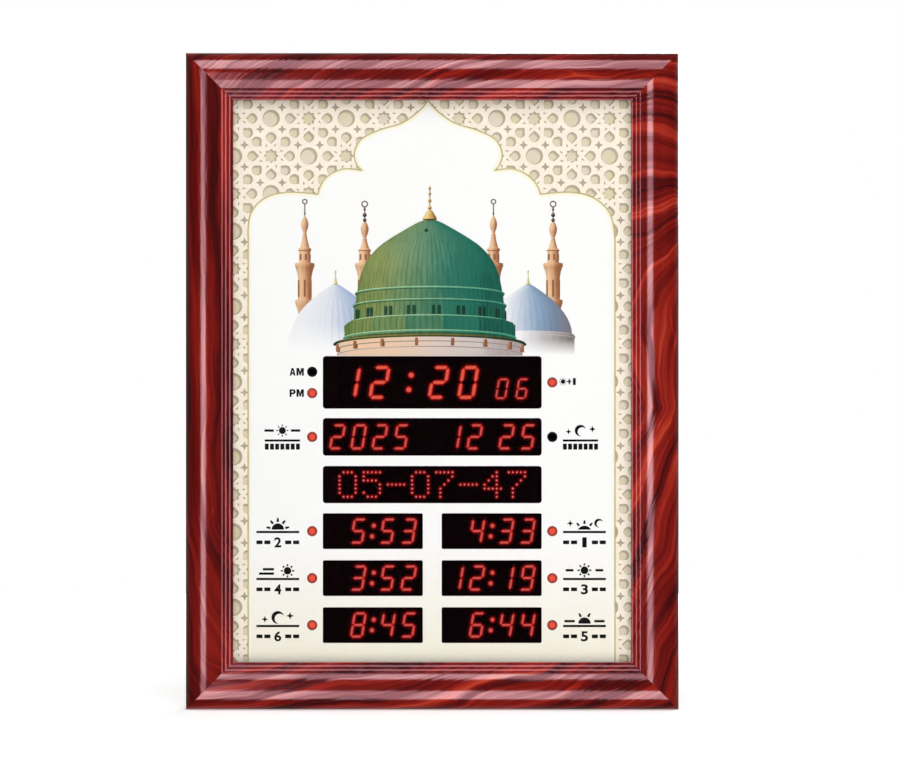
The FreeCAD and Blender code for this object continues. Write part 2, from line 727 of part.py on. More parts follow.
def case(name, x, z, count, pitch, wide, tall):
    """A display case for `count` digits, centred at (x, z)."""
    half = "((%d * %s + %s) / 2 + case_side)" % (count - 1, pitch, wide)
    up = "(%s / 2 + case_edge)" % tall
    x0 = "(%s) - %s" % (x, half)
    x1 = "(%s) + %s" % (x, half)
    z0 = "(%s) - %s" % (z, up)
    z1 = "(%s) + %s" % (z, up)
    return block(name, x0, x1, BOARD_FRONT, CASE_FRONT, z0, z1)


SECOND_Z = "(time_z - main_tall / 2 + second_tall / 2)"
MAIN = ("main_pitch", "main_wide", "main_tall")
SECONDS = ("second_pitch", "second_wide", "second_tall")
SMALL = ("small_pitch", "small_wide", "small_tall")
node(case("HourCase", "hour_x", "time_z", 2, *MAIN), "hour_display")
node(case("MinuteCase", "minute_x", "time_z", 2, *MAIN), "minute_display")
node(case("SecondCase", "second_x", SECOND_Z, 2, *SECONDS), "seconds_display")
COLON_HALF = "(colon_dot / 2 + colon_edge)"
node(
    block(
        "ColonCase",
        "colon_x - " + COLON_HALF,
        "colon_x + " + COLON_HALF,
        BOARD_FRONT,
        CASE_FRONT,
        "time_z - colon_rise - " + COLON_HALF,
        "time_z + colon_rise + " + COLON_HALF,
    ),
    "colon_display",
)
node(case("YearCase", "year_x", "date_z", 4, *SMALL), "year_display")
node(case("MonthCase", "month_x", "date_z", 2, *SMALL), "month_display")
node(case("DayCase", "day_x", "date_z", 2, *SMALL), "day_display")


def group_case(name, side, i):
    half = "(pair_shift + small_pitch / 2 + small_wide / 2 + case_side)"
    up = "(small_tall / 2 + case_edge)"
    x = "(%d * group_x)" % side
    z = row_level(i)
    return block(
        name, x + " - " + half, x + " + " + half, BOARD_FRONT, CASE_FRONT, z + " - " + up, z + " + " + up
    )


node(group_case("RowCaseA", -1, 0), "dawn_display")
node(group_case("RowCaseB", -1, 1), "sunrise_display")
node(group_case("RowCaseC", -1, 2), "noon_display")
node(group_case("RowCaseD", 1, 0), "afternoon_display")
node(group_case("RowCaseE", 1, 1), "sunset_display")
node(group_case("RowCaseF", 1, 2), "night_display")

MODULES = 8
MODULE_PITCH = "(6 * dot_pitch_x)"
module_boxes = []
for i in range(MODULES):
    x = "(%s * %s)" % (i - (MODULES - 1) / 2, MODULE_PITCH)
    half = "(%s / 2 - module_gap / 2)" % MODULE_PITCH
    up = "(3 * dot_pitch_z + dot_wide / 2 + module_edge)"
    module_boxes.append(
        block(
            "Module%d" % (i + 1),
            x + " - " + half,
            x + " + " + half,
            BOARD_FRONT,
            CASE_FRONT,
            "matrix_z - " + up,
            "matrix_z + " + up,
        )
    )
node(group("MatrixModules", module_boxes), "matrix_modules")

# ---------------------------------------------------------------- light segments and dots
# These are many small free-form prisms picked one by one, so they are set with Part's functions
# from the same sizes.

DIGITS = {
    "0": "abcdef",
    "1": "bc",
    "2": "abged",
    "3": "abgcd",
    "4": "fgbc",
    "5": "afgcd",
    "6": "afgedc",
    "7": "abc",
    "8": "abcdefg",
    "9": "abcdfg",
    " ": "",
}


def bar_outline(which, wide, tall, bar):
    """Corner points of one segment, before slanting."""
    gap = num("bar_gap")
    h = bar / 2
    x = wide / 2 - h
    z = tall / 2 - h
    if which in "agd":
        level = {"a": z, "g": 0.0, "d": -z}[which]
        a = -x + gap
        b = x - gap
        return [
            (a, level),
            (a + h, level + h),
            (b - h, level + h),
            (b, level),
            (b - h, level - h),
            (a + h, level - h),
        ]
    side = x if which in "bc" else -x
    lo, hi = (gap, z - gap) if which in "bf" else (-z + gap, -gap)
    return [
        (side, lo),
        (side + h, lo + h),
        (side + h, hi - h),
        (side, hi),
        (side - h, hi - h),
        (side - h, lo + h),
    ]


def prism(points, cx, cz):
    """A thin prism on the front of a display case, slanted like the digits."""
    lean = math.tan(math.radians(num("slant")))
    y = num(y_of(CASE_FRONT))
    ring = [V(cx + px + lean * pz, y, cz + pz) for px, pz in points]
    face = Part.Face(Part.makePolygon(ring + [ring[0]]))
    return face.extrude(V(0, -num("segment_thick"), 0))


def disc(cx, cz, radius):
    y = num(y_of(CASE_FRONT))
    return Part.makeCylinder(radius, num("segment_thick"), V(cx, y, cz), V(0, -1, 0))


lit = []
dark = []


def digit(char, x, z, wide, tall, bar):
    for which in "abcdefg":
        shape = prism(bar_outline(which, num(wide), num(tall), num(bar)), num(x), num(z))
        (lit if which in DIGITS[char] else dark).append(shape)


def number(text, x, z, pitch, wide, tall, bar):
    for i, char in enumerate(text):
        shift = i - (len(text) - 1) / 2
        digit(char, "(%s) + %s * %s" % (x, shift, pitch), z, wide, tall, bar)


def colon(x, z, rise, dot):
    lean = math.tan(math.radians(num("slant")))
    for side in (-1, 1):
        up = side * num(rise)
        lit.append(disc(num(x) + lean * up, num(z) + up, num(dot) / 2))


number("12", "hour_x", "time_z", *MAIN, "main_bar")
number("20", "minute_x", "time_z", *MAIN, "main_bar")
number("06", "second_x", SECOND_Z, *SECONDS, "second_bar")
colon("colon_x", "time_z", "colon_rise", "colon_dot")
number("2025", "year_x", "date_z", *SMALL, "small_bar")
number("12", "month_x", "date_z", *SMALL, "small_bar")
number("25", "day_x", "date_z", *SMALL, "small_bar")
for side, times in ((-1, (" 553", " 352", " 845")), (1, (" 433", "1219", " 644"))):
    for i, text in enumerate(times):
        middle = "(%d * group_x)" % side
        number(text[:2], middle + " - pair_shift", row_level(i), *SMALL, "small_bar")
        number(text[2:], middle + " + pair_shift", row_level(i), *SMALL, "small_bar")
        colon(middle, row_level(i), "small_rise", "small_dot")


def light_part(name, label, shapes):
    f = doc.addObject("Part::Feature", name)
    f.Shape = Part.makeCompound(shapes)
    f.Placement = FreeCAD.Placement()
    return node(f, label)


light_part("LitSegments", "lit_segments", lit)
light_part("UnlitSegments", "unlit_segments", dark)

GLYPHS = {
    "0": ("01110", "10001", "10001", "10001", "10001", "10001", "01110"),
    "4": ("00010", "00110", "01010", "10010", "11111", "00010", "00010"),
    "5": ("11111", "10000", "11110", "00001", "00001", "10001", "01110"),
    "7": ("11111", "00001", "00010", "00100", "01000", "01000", "01000"),
    "-": ("00000", "00000", "00000", "11111", "00000", "00000", "00000"),
}
MATRIX_TEXT = "05-07-47"
lit_dots = []
dark_dots = []
for i, char in enumerate(MATRIX_TEXT):
    centre = num("%s * %s" % (i - (MODULES - 1) / 2, MODULE_PITCH))
    for r, line in enumerate(GLYPHS[char]):
        for c, mark in enumerate(line):
            x = centre + (c - 2) * num("dot_pitch_x")
            z = num("matrix_z") + (3 - r) * num("dot_pitch_z")
            (lit_dots if mark == "1" else dark_dots).append(disc(x, z, num("dot_wide") / 2))
light_part("LitDots", "lit_matrix_dots", lit_dots)
light_part("UnlitDots", "unlit_matrix_dots", dark_dots)


# ---------------------------------------------------------------- lamps and infrared receiver


def lamp(name, x, z):
    """A round lamp on the board: rim, body and dome."""
    tip = "(%s - %s)" % (SEGMENT_FRONT, BOARD_FRONT)
    loop = [
        ("0", "0"),
        ("lamp_round + lamp_rim", "0"),
        ("lamp_round + lamp_rim", "lamp_foot"),
        ("lamp_round", "lamp_foot"),
        ("lamp_round", "%s - lamp_round" % tip, "lamp_round", 1),
        ("0", tip),
    ]
    return turned(name, loop, x, BOARD_FRONT, z)


lamps = [lamp("LitLamp%d" % i, x, z) for i, (x, z) in enumerate(LAMPS_LIT)]
node(group("LitLamps", lamps), "lit_lamps")
lamps = [lamp("DarkLamp%d" % i, x, z) for i, (x, z) in enumerate(LAMPS_DARK)]
node(group("DarkLamps", lamps), "unlit_lamps")

SENSOR_X = "(%s - sensor_in)" % HALF_WINDOW
SENSOR_Z = "(time_z + time_tall / 2 - sensor_in)"
sensor = fuse(
    "Sensor",
    [
        block(
            "SensorBody",
            SENSOR_X + " - sensor_wide / 2",
            SENSOR_X + " + sensor_wide / 2",
            BOARD_FRONT,
            BOARD_FRONT + " + sensor_deep",
            SENSOR_Z + " - sensor_tall / 2",
            SENSOR_Z + " + sensor_tall / 2",
        ),
        pin(
            "SensorLens",
            SENSOR_X,
            SENSOR_Z,
            "lens_round",
            BOARD_FRONT + " + sensor_deep",
            BOARD_FRONT + " + sensor_deep + lens_tall",
        ),
    ],
)
node(sensor, "ir_receiver")

# ---------------------------------------------------------------- back cover

cover_outline = rect("-" + COVER_X, "-" + COVER_Z, COVER_X, COVER_Z)
COVER_SCREWS = []
for s in (-1, 1):
    for i in (-1, 0, 1):
        COVER_SCREWS.append(("%d * %s" % (s, LEDGE_X), "%d * side_screw_pitch" % i))
    for i in (-1, 1):
        COVER_SCREWS.append(("%d * end_screw_pitch / 2" % i, "%d * %s" % (s, LEDGE_Z)))
KEYS = ["%d * key_pitch" % i for i in (-2, -1, 0, 1, 2)]

cover = new_body("BackCover")
sk = sketch(cover, "CoverOutline", "XZ_Plane", [cover_outline], (), "bumper_tall")
pad(cover, "CoverPlate", sk, "cover_thick")

# bosses for the board, and the box round the power bay
sk = sketch(
    cover,
    "CoverBosses",
    "XZ_Plane",
    (),
    [(x, z, "boss_round") for x, z in BOSSES],
    "bumper_tall + cover_thick",
)
pad(cover, "BossPads", sk, "%s - cover_thick" % BOARD)
bay_outer = rect(
    "bay_x - bay_wide / 2 - bay_wall",
    "bay_z - bay_tall / 2 - bay_wall",
    "bay_x + bay_wide / 2 + bay_wall",
    "bay_z + bay_tall / 2 + bay_wall",
)
sk = sketch(cover, "BayOuter", "XZ_Plane", [bay_outer], (), "bumper_tall + cover_thick")
pad(cover, "BayBox", sk, "bay_deep + bay_wall - cover_thick")
bay_inner = rect(
    "bay_x - bay_wide / 2",
    "bay_z - bay_tall / 2",
    "bay_x + bay_wide / 2",
    "bay_z + bay_tall / 2",
)
sk = sketch(cover, "BayInner", "XZ_Plane", [bay_inner], (), "bumper_tall + bay_deep")
pocket(cover, "BayHollow", sk, "bay_deep")

# mouth of the power inlet in the upper wall of the bay
sk = sketch(
    cover,
    "InletMouth",
    "XY_Plane",
    (),
    [("bay_x", y_of("bay_deep / 2"), "jack_bore + nozzle_wall + nozzle_gap")],
    "bay_z + bay_tall / 2 + bay_wall + 0.5",
)
pocket(cover, "InletHole", sk, "bay_wall + 1")

# blind holes in the bosses, screw holes round the edge, key holes
sk = sketch(cover, "BossHoles", "XZ_Plane", (), boss_holes, "bumper_tall + " + BOARD)
pocket(cover, "BossPilots", sk, "%s - cover_thick" % BOARD)
plain = [(x, z, SCREW_HOLE) for x, z in COVER_SCREWS]
plain += [(x, "key_z", "key_round + key_gap") for x in KEYS]
ears = []
EAR = "((speaker_round - ear_in) * 0.70710678)"
for sx in (-1, 1):
    for sz in (-1, 1):
        ears.append(("%d * %s" % (sx, EAR), "speaker_z + %d * %s" % (sz, EAR)))
plain += [(x, z, SCREW_HOLE) for x, z in ears]
sk = sketch(cover, "PlainHoles", "XZ_Plane", (), plain, "bumper_tall + cover_thick")
pocket(cover, "CoverHoles", sk, "cover_thick")

# sound holes on a triangular grid
sound = []
for q in range(-3, 4):
    for r in range(-3, 4):
        if abs(q + r) > 3:
            continue
        x = "%s * grille_pitch" % (q + r / 2)
        z = "speaker_z + %.8f * grille_pitch" % (r * math.sqrt(3) / 2)
        sound.append((x, z, "grille_hole / 2"))
sk = sketch(cover, "SoundHoles", "XZ_Plane", (), sound, "bumper_tall + cover_thick")
pocket(cover, "Grille", sk, "cover_thick")

# ventilation slots, one slot patterned to both sides
vent = soft_rect(
    "-vent_wide / 2 - 6 * vent_pitch",
    "vent_z - vent_long / 2",
    "vent_wide / 2 - 6 * vent_pitch",
    "vent_z + vent_long / 2",
    "vent_wide / 2 - 0.05",
)
sk = sketch(cover, "VentSlot", "XZ_Plane", [vent], (), "bumper_tall + cover_thick")
vent_pocket = pocket(cover, "Vent", sk, "cover_thick")
pattern = cover.newObject("PartDesign::LinearPattern", "Vents")
pattern.Originals = [vent_pocket]
pattern.Direction = (sk, ["H_Axis"])
pattern.Occurrences = 13
bind(pattern, "Length", "12 * vent_pitch")
cover.Tip = pattern
doc.recompute()

# lid hole with its two notches
lid_hole = sketch(
    cover,
    "LidHole",
    "XZ_Plane",
    (),
    [("cell_x", "cell_z", "lid_round + lid_gap")],
    "bumper_tall + cover_thick",
)
pocket(cover, "LidOpening", lid_hole, "cover_thick")
notch = rect(
    "cell_x - lid_round - lug_long - lid_gap",
    "cell_z - lug_wide / 2 - lid_gap",
    "cell_x + lid_round + lug_long + lid_gap",
    "cell_z + lug_wide / 2 + lid_gap",
)
sk = sketch(cover, "LidNotches", "XZ_Plane", [notch], (), "bumper_tall + cover_thick")
pocket(cover, "Notches", sk, "cover_thick")
node(cover, "back_cover")


def screw(name, x, z, seat, tip, forward=True):
    """A pan-head screw: its head sits on the plane `seat`, its shank reaches to the plane `tip`.

    A forward screw has its head behind the seat, the other kind has it in front.
    """
    s = 1 if forward else -1
    top = "(%s) - %d * head_tall" % (seat, s)
    floor = "(%s) - %d * (head_tall - slot_deep)" % (seat, s)
    past = "(%s) - %d * (head_tall + 1)" % (seat, s)
    parts = []
    for kind, radius, a, b in (("Head", "head_round", top, seat), ("Shank", "screw_round", seat, tip)):
        parts.append(pin(name + kind, x, z, radius, *((a, b) if forward else (b, a))))
    slot = block(
        name + "Slot",
        "(%s) - head_round - 1" % x,
        "(%s) + head_round + 1" % x,
        past if forward else floor,
        floor if forward else past,
        "(%s) - slot_wide / 2" % z,
        "(%s) + slot_wide / 2" % z,
    )
    return cut(name, fuse(name + "Blank", parts), [slot])


cover_screws = [screw("CoverScrew%d" % i, x, z, "0", "screw_long") for i, (x, z) in enumerate(COVER_SCREWS)]
node(group("CoverScrews", cover_screws), "cover_screws")

board_screws = []
for i, (x, z) in enumerate(BOSSES):
    board_screws.append(screw("BoardScrew%d" % i, x, z, BOARD_FRONT, "cover_thick + boss_floor", False))
node(group("BoardScrews", board_screws), "board_screws")

# ---------------------------------------------------------------- speaker

FLANGE = "(cover_thick + flange_thick)"
CONE_END = "(cover_thick + flange_thick + cone_deep)"
MAGNET = "(cover_thick + flange_thick + cone_deep + basket_thick)"
# the basket is one turned sheet: flange, sloping wall and bottom plate
basket_blank = turned(
    "BasketBlank",
    [
        ("cone_round + 0.8", "cover_thick"),
        ("speaker_round", "cover_thick"),
        ("speaker_round", FLANGE),
        ("cone_round + 0.8 + basket_thick", FLANGE),
        ("magnet_round - 2", MAGNET),
        ("3", MAGNET),
        ("3", CONE_END),
        ("magnet_round - 2 - basket_thick", CONE_END),
        ("cone_round + 0.8", FLANGE),
    ],
    "0",
    "0",
    "speaker_z",
)
ear_holes = []
for i, (x, z) in enumerate(ears):
    ear_holes.append(pin("EarHole%d" % i, x, z, SCREW_HOLE, "cover_thick - 1", FLANGE + " + 0.6"))
TAG_Z = "(speaker_z - speaker_round + 0.6)"
tag = block(
    "SpeakerTag",
    "-tag_wide / 2",
    "tag_wide / 2",
    FLANGE + " - 0.4",
    FLANGE + " + tag_tall",
    TAG_Z,
    TAG_Z + " + 3.2",
)
node(cut("Basket", fuse("BasketWithTag", [basket_blank, tag]), ear_holes), "speaker_basket")
magnet = turned(
    "Magnet",
    [
        ("0", MAGNET),
        ("magnet_round", MAGNET),
        ("magnet_round", MAGNET + " + magnet_tall"),
        ("0", MAGNET + " + magnet_tall"),
    ],
    "0",
    "0",
    "speaker_z",
)
node(magnet, "speaker_magnet")
# paper cone with its surround, glued in the flange, and a dust cap over the voice coil
CONE_DEEP = "(%s - 0.6)" % CONE_END
cone = turned(
    "Cone",
    [
        ("0", "cover_thick + 3.0"),
        ("5", "cover_thick + 3.7"),
        ("8", CONE_DEEP + " - 1"),
        ("cone_round - 4", "cover_thick + 0.6"),
        ("cone_round - 1.5", "cover_thick + 0.2"),
        ("cone_round + 0.72", "cover_thick + 0.4"),
        ("cone_round + 0.72", "cover_thick + 0.9"),
        ("cone_round - 1.5", "cover_thick + 0.8"),
        ("cone_round - 4", "cover_thick + 1.2"),
        ("8", CONE_DEEP),
        ("0", CONE_DEEP),
    ],
    "0",
    "0",
    "speaker_z",
)
node(cone, "speaker_cone")
speaker_screws = []
for i, (x, z) in enumerate(ears):
    name = "SpeakerScrew%d" % i
    speaker_screws.append(screw(name, x, z, "0", FLANGE + " + nut_tall + 0.6"))
    nut = pin(name + "NutBlank", x, z, "nut_round", FLANGE, FLANGE + " + nut_tall")
    hole = pin(name + "NutHole", x, z, SCREW_HOLE, FLANGE + " - 1", FLANGE + " + nut_tall + 1")
    speaker_screws.append(cut(name + "Nut", nut, [hole]))
node(group("SpeakerScrews", speaker_screws), "speaker_screws")

# ---------------------------------------------------------------- power inlet

JACK_Z = "(bay_z + bay_tall / 2 + bay_wall)"
jack_block = block(
    "JackBlock",
    "bay_x - jack_wide / 2",
    "bay_x + jack_wide / 2",
    "bay_deep / 2 - jack_wide / 2 + 0.8",
    "bay_deep / 2 + jack_wide / 2",
    JACK_Z,
    JACK_Z + " + jack_tall",
)


def upright(name, x, out, radius, z0, z1):
    c = doc.addObject("Part::Cylinder", name)
    bind(c, "Radius", radius)
    bind(c, "Height", "(%s) - (%s)" % (z1, z0))
    at(c, x, y_of(out), z0)
    return c


BAY_MID = "bay_deep / 2"
MOUTH = JACK_Z + " - bay_wall"
BORE_END = JACK_Z + " + jack_tall - jack_wall"
nozzle = upright("JackNozzle", "bay_x", BAY_MID, "jack_bore + nozzle_wall", MOUTH, JACK_Z + " + 1")
bore = upright("JackBore", "bay_x", BAY_MID, "jack_bore", MOUTH + " - 1", BORE_END)
jack = cut("Jack", fuse("JackBody", [jack_block, nozzle]), [bore])
contact = upright("JackContact", "bay_x", BAY_MID, "jack_pin", MOUTH + " + 1", BORE_END + " + 1")
node(fuse("PowerInlet", [jack, contact]), "power_inlet")

# ---------------------------------------------------------------- keys

SWITCH = "(%s - switch_tall)" % BOARD
KEY_SEAT = "cover_thick + key_play"
for i, x in enumerate(KEYS):
    loop = [
        ("0", "-key_proud"),
        ("key_round", "-key_proud"),
        ("key_round", KEY_SEAT),
        ("key_round + key_flange", KEY_SEAT),
        ("key_round + key_flange", KEY_SEAT + " + key_flange_thick"),
        ("key_stem", KEY_SEAT + " + key_flange_thick"),
        ("key_stem", "%s - key_travel - key_play" % SWITCH),
        ("0", "%s - key_travel - key_play" % SWITCH),
    ]
    names = ("key_set", "key_down", "key_up", "key_volume", "key_reset")
    node(turned("Key%d" % (i + 1), loop, x, "0", "key_z"), names[i])

switches = []
for i, x in enumerate(KEYS):
    switches.append(
        block(
            "Switch%d" % (i + 1),
            "(%s) - switch_wide / 2" % x,
            "(%s) + switch_wide / 2" % x,
            SWITCH,
            BOARD,
            "key_z - switch_wide / 2",
            "key_z + switch_wide / 2",
        )
    )
node(group("Switches", switches), "key_switches")

# ---------------------------------------------------------------- coin cell, holder and lid

CELL = "(%s - holder_floor - cell_play - cell_thick)" % BOARD
node(pin("CoinCell", "cell_x", "cell_z", "cell_round", CELL, CELL + " + cell_thick"), "coin_cell")
HOLDER_RADIUS = "cell_round + cell_play + holder_wall"
holder_ring = pin("HolderBlank", "cell_x", "cell_z", HOLDER_RADIUS, CELL + " + cell_thick / 4", BOARD)
holder_hole = pin("HolderHole", "cell_x", "cell_z", "cell_round + cell_play", CELL, BOARD + " - holder_floor")
node(cut("CellHolder", holder_ring, [holder_hole]), "cell_holder")

LUG = "(cover_thick + lid_gap)"
lid_parts = [
    pin("LidRim", "0", "0", "lid_round + lug_long + lid_rim", "-lid_thick - lid_seat", "-lid_seat"),
    pin("LidPlug", "0", "0", "lid_round", "-lid_seat", LUG + " + lug_thick"),
    block(
        "LidLugs",
        "-lug_wide / 2",
        "lug_wide / 2",
        LUG,
        LUG + " + lug_thick",
        "-lid_round - lug_long",
        "lid_round + lug_long",
    ),
]
lid_slot = block(
    "LidSlot",
    "-coin_slot / 2",
    "coin_slot / 2",
    "-lid_thick - lid_seat - 1",
    "-lid_thick - lid_seat + coin_slot_deep",
    "-coin_slot_wide / 2",
    "coin_slot_wide / 2",
)
lid_hollow = pin("LidHollow", "0", "0", "lid_round - lid_wall", "lid_wall", LUG + " + lug_thick + 1")
lid = cut("Lid", fuse("LidBlank", lid_parts), [lid_slot, lid_hollow])
at(lid, "cell_x", "0", "cell_z")
node(lid, "battery_lid")

# ---------------------------------------------------------------- chips and capacitors

CHIPS = []
for z, places in (("date_z", (-1, 0, 1)), (row_level(0), (-0.5, 0.5))):
    for i in places:
        CHIPS.append(("chip_x + %g * chip_pitch" % i, z, "chip_wide", "chip_tall"))
CHIPS.append(("chip_x + chip_pitch / 2", "matrix_z", "processor_wide", "processor_wide"))
chips = []
for i, (x, z, wide, tall) in enumerate(CHIPS):
    chips.append(
        block(
            "Chip%d" % (i + 1),
            "%s - %s / 2" % (x, wide),
            "%s + %s / 2" % (x, wide),
            BOARD + " - chip_deep",
            BOARD,
            "%s - %s / 2" % (z, tall),
            "%s + %s / 2" % (z, tall),
        )
    )
node(group("Chips", chips), "driver_chips")
cans = []
for i, (x, z) in enumerate([("can_x", "time_z"), ("can_x - 4 * can_round", "time_z"), ("0", "matrix_z")]):
    cans.append(pin("Can%d" % (i + 1), x, z, "can_round", BOARD + " - can_tall", BOARD))
node(group("Cans", cans), "capacitors")

# ---------------------------------------------------------------- leads inside the case


def lead(name, points, radius):
    """A round lead along straight runs joined by tangent arcs; the points are (x, out, z)."""
    pts = [V(num(x), num(y_of(out)), num(z)) for x, out, z in points]
    edges = []
    here = pts[0]
    for i in range(1, len(pts) - 1):
        back = pts[i - 1] - pts[i]
        on = pts[i + 1] - pts[i]
        shorter = min(back.Length, on.Length)
        turn = math.pi - back.getAngle(on)
        bend = 0.45 * shorter / math.tan(turn / 2)
        back.normalize()
        on.normalize()
        a = pts[i] + back * 0.45 * shorter
        b = pts[i] + on * 0.45 * shorter
        inward = (back + on).normalize()
        centre = pts[i] + inward * (bend / math.cos(turn / 2))
        middle = centre - inward * bend
        edges.append(Part.LineSegment(here, a).toShape())
        edges.append(Part.Arc(a, middle, b).toShape())
        print("%s bend radius %.1f mm" % (name, bend))
        here = b
    edges.append(Part.LineSegment(here, pts[-1]).toShape())
    spine = Part.Wire(edges)
    ring = Part.Wire(Part.makeCircle(radius, pts[0], pts[1] - pts[0]))
    tube = spine.makePipeShell([ring], True, False)
    volume = math.pi * radius * radius * spine.Length
    if abs(tube.Volume / volume - 1) > 0.01:
        raise RuntimeError("%s has the wrong volume" % name)
    return tube


SOCKET = "(%s - socket_deep)" % BOARD
SOCKET_MID = "(%s - socket_deep / 2)" % BOARD
SOCKET_TOP = "(board_top - socket_in)"
TAG_MID = "(%s + tag_tall / 2)" % FLANGE
JACK_END = "(%s + jack_tall)" % JACK_Z
sockets = []
for i, x in enumerate(("socket_x - socket_pitch", "socket_x")):
    sockets.append(
        block(
            "Socket%d" % (i + 1),
            x + " - socket_wide / 2",
            x + " + socket_wide / 2",
            SOCKET,
            BOARD,
            SOCKET_TOP + " - socket_tall",
            SOCKET_TOP,
        )
    )
node(group("Sockets", sockets), "lead_sockets")
SPEAKER_X = "(socket_x - socket_pitch)"
speaker_run = [
    (SPEAKER_X, SOCKET_MID, SOCKET_TOP),
    (SPEAKER_X, SOCKET_MID, "%s * 0.8 + %s * 0.2" % (SOCKET_TOP, TAG_Z)),
    (SPEAKER_X + " * 0.7", "(%s + %s) / 2" % (SOCKET_MID, TAG_MID), "(%s + %s) / 2" % (SOCKET_TOP, TAG_Z)),
    ("tag_wide / 5", TAG_MID, "%s * 0.2 + %s * 0.8" % (SOCKET_TOP, TAG_Z)),
    ("tag_wide / 5", TAG_MID, TAG_Z),
]
BAY_SIDE = "(bay_x - bay_wide / 2 - bay_wall - lead_clear)"
power_run = [
    ("socket_x", SOCKET_MID, SOCKET_TOP),
    ("socket_x", SOCKET_MID, SOCKET_TOP + " + bay_up"),
    (BAY_SIDE + " - lead_clear", BAY_MID, "bay_z - bay_tall / 4"),
    (BAY_SIDE + " - lead_clear / 2", BAY_MID, "bay_z + bay_tall / 4"),
    (BAY_SIDE, BAY_MID, JACK_Z),
    ("bay_x - jack_wide / 2 - 2 * lead_clear", BAY_MID, JACK_END + " - jack_wall"),
    ("bay_x - jack_wide / 2", BAY_MID, JACK_END + " - jack_wall"),
]
leads = doc.addObject("Part::Feature", "Leads")
lead_shapes = [
    lead("speaker lead", speaker_run, num("lead_round")),
    lead("power lead", power_run, num("lead_round")),
]
leads.Shape = Part.makeCompound(lead_shapes)
leads.Placement = FreeCAD.Placement()
node(leads, "inner_leads")

# ---------------------------------------------------------------- wall bumpers and hangers

bumpers = []
for sx in (-1, 1):
    for sz in (-1, 1):
        i = len(bumpers) + 1
        body = turned(
            "Bumper%d" % i,
            [
                ("0", "-bumper_tall"),
                ("bumper_round - 1.2", "-bumper_tall"),
                ("bumper_round", "-bumper_tall + 1.2"),
                ("bumper_round", "0"),
                ("0", "0"),
            ],
            "%d * (%s - bumper_in)" % (sx, HALF_W),
            "0",
            "%d * (%s - bumper_in)" % (sz, HALF_T),
        )
        bumpers.append(body)
node(group("Bumpers", bumpers), "wall_bumpers")

EYE = "(wire_round + eye_gap + strap_thick)"


def lying(name, x0, x1, out, z, radius):
    """A round bar along X."""
    c = doc.addObject("Part::Cylinder", name)
    c.Placement = FreeCAD.Placement(V(0, 0, 0), FreeCAD.Rotation(V(0, 1, 0), 90))
    bind(c, "Radius", radius)
    bind(c, "Height", "(%s) - (%s)" % (x1, x0))
    at(c, x0, y_of(out), z)
    return c


HANGER_TIP = "screw_long - strap_thick"


def hanger(side):
    word = "Right" if side > 0 else "Left"
    x = "(%d * (%s - hanger_in))" % (side, HALF_W)
    x0 = x + " - strap_wide / 2"
    x1 = x + " + strap_wide / 2"
    plate = block("Strap%s" % word, x0, x1, "-strap_thick", "0", "hanger_z - strap_long", "hanger_z")
    eye = lying("Eye%s" % word, x0, x1, "-" + EYE, "hanger_z", EYE)
    hollow = lying("EyeBore%s" % word, x0 + " - 1", x1 + " + 1", "-" + EYE, "hanger_z", "wire_round + eye_gap")
    hole = pin("StrapHole%s" % word, x, "hanger_z - strap_screw", SCREW_HOLE, "-strap_thick - 1", "1")
    strap = cut("Hanger%s" % word, fuse("StrapBlank%s" % word, [plate, eye]), [hollow, hole])
    node(strap, "hanger_strap_" + word.lower())

    # the ring: a straight bar, two small bends and a half-round bow
    ring = new_body("Ring%s" % word)
    half = "(ring_round - ring_bend)"
    path = ring.newObject("Sketcher::SketchObject", "RingPath%s" % word)
    plane = next(f for f in ring.Origin.OriginFeatures if f.Role == "XZ_Plane")
    path.AttachmentSupport = [(plane, "")]
    path.MapMode = "FlatFace"
    add_loop(
        path,
        [
            ("-" + half, "0"),
            (half, "0", "ring_bend", 1),
            ("ring_round", "-ring_bend", "ring_round", 1),
            ("0", "-ring_bend - ring_round", "ring_round", 1),
            ("-ring_round", "-ring_bend", "ring_bend", 1),
        ],
    )
    section = sketch(ring, "RingSection%s" % word, "YZ_Plane", (), [("0", "0", "wire_round")])
    pipe = ring.newObject("PartDesign::AdditivePipe", "RingPipe%s" % word)
    pipe.Profile = section
    pipe.Spine = path
    ring.Tip = pipe
    at(ring, x, y_of("-" + EYE), "hanger_z")
    node(ring, "hanger_ring_" + word.lower())
    return screw("HangerScrew%s" % word, x, "hanger_z - strap_screw", "-strap_thick", HANGER_TIP)


node(group("HangerScrews", [hanger(-1), hanger(1)]), "hanger_screws")

# ---------------------------------------------------------------- check and write

doc.removeObject(probe.Name)
doc.recompute()
for obj in doc.Objects:
    bad = [word for word in obj.State if word in ("Invalid", "Error")]
    if bad:
        raise RuntimeError("%s (%s) failed: %s" % (obj.Name, obj.Label, bad))
for name, obj in NODES.items():
    shape = obj.Shape
    if shape.isNull() or not shape.isValid() or not shape.Solids:
        raise RuntimeError("%s has no valid solid" % name)

os.makedirs("parts", exist_ok=True)
for name, obj in NODES.items():
    obj.Shape.exportStep(os.path.join("parts", name + ".step"))
    box = obj.Shape.BoundBox
    print(
        "%-22s %3d solids  x %8.2f %8.2f  y %7.2f %7.2f  z %8.2f %8.2f"
        % (name, len(obj.Shape.Solids), box.XMin, box.XMax, box.YMin, box.YMax, box.ZMin, box.ZMax)
    )
print(len(NODES), "sub-parts")
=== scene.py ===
# %% [markdown]
# # A prayer-time clock in a mahogany frame
# The clock is a picture frame with a printed sheet behind its glass. Windows in the sheet show red
# displays. The solid model comes from the CAD step and is loaded as a fixed frame. This lesson gives
# it its looks: rails with real wood figure, the printed picture, the glow of the displays, and light.

import json
import math

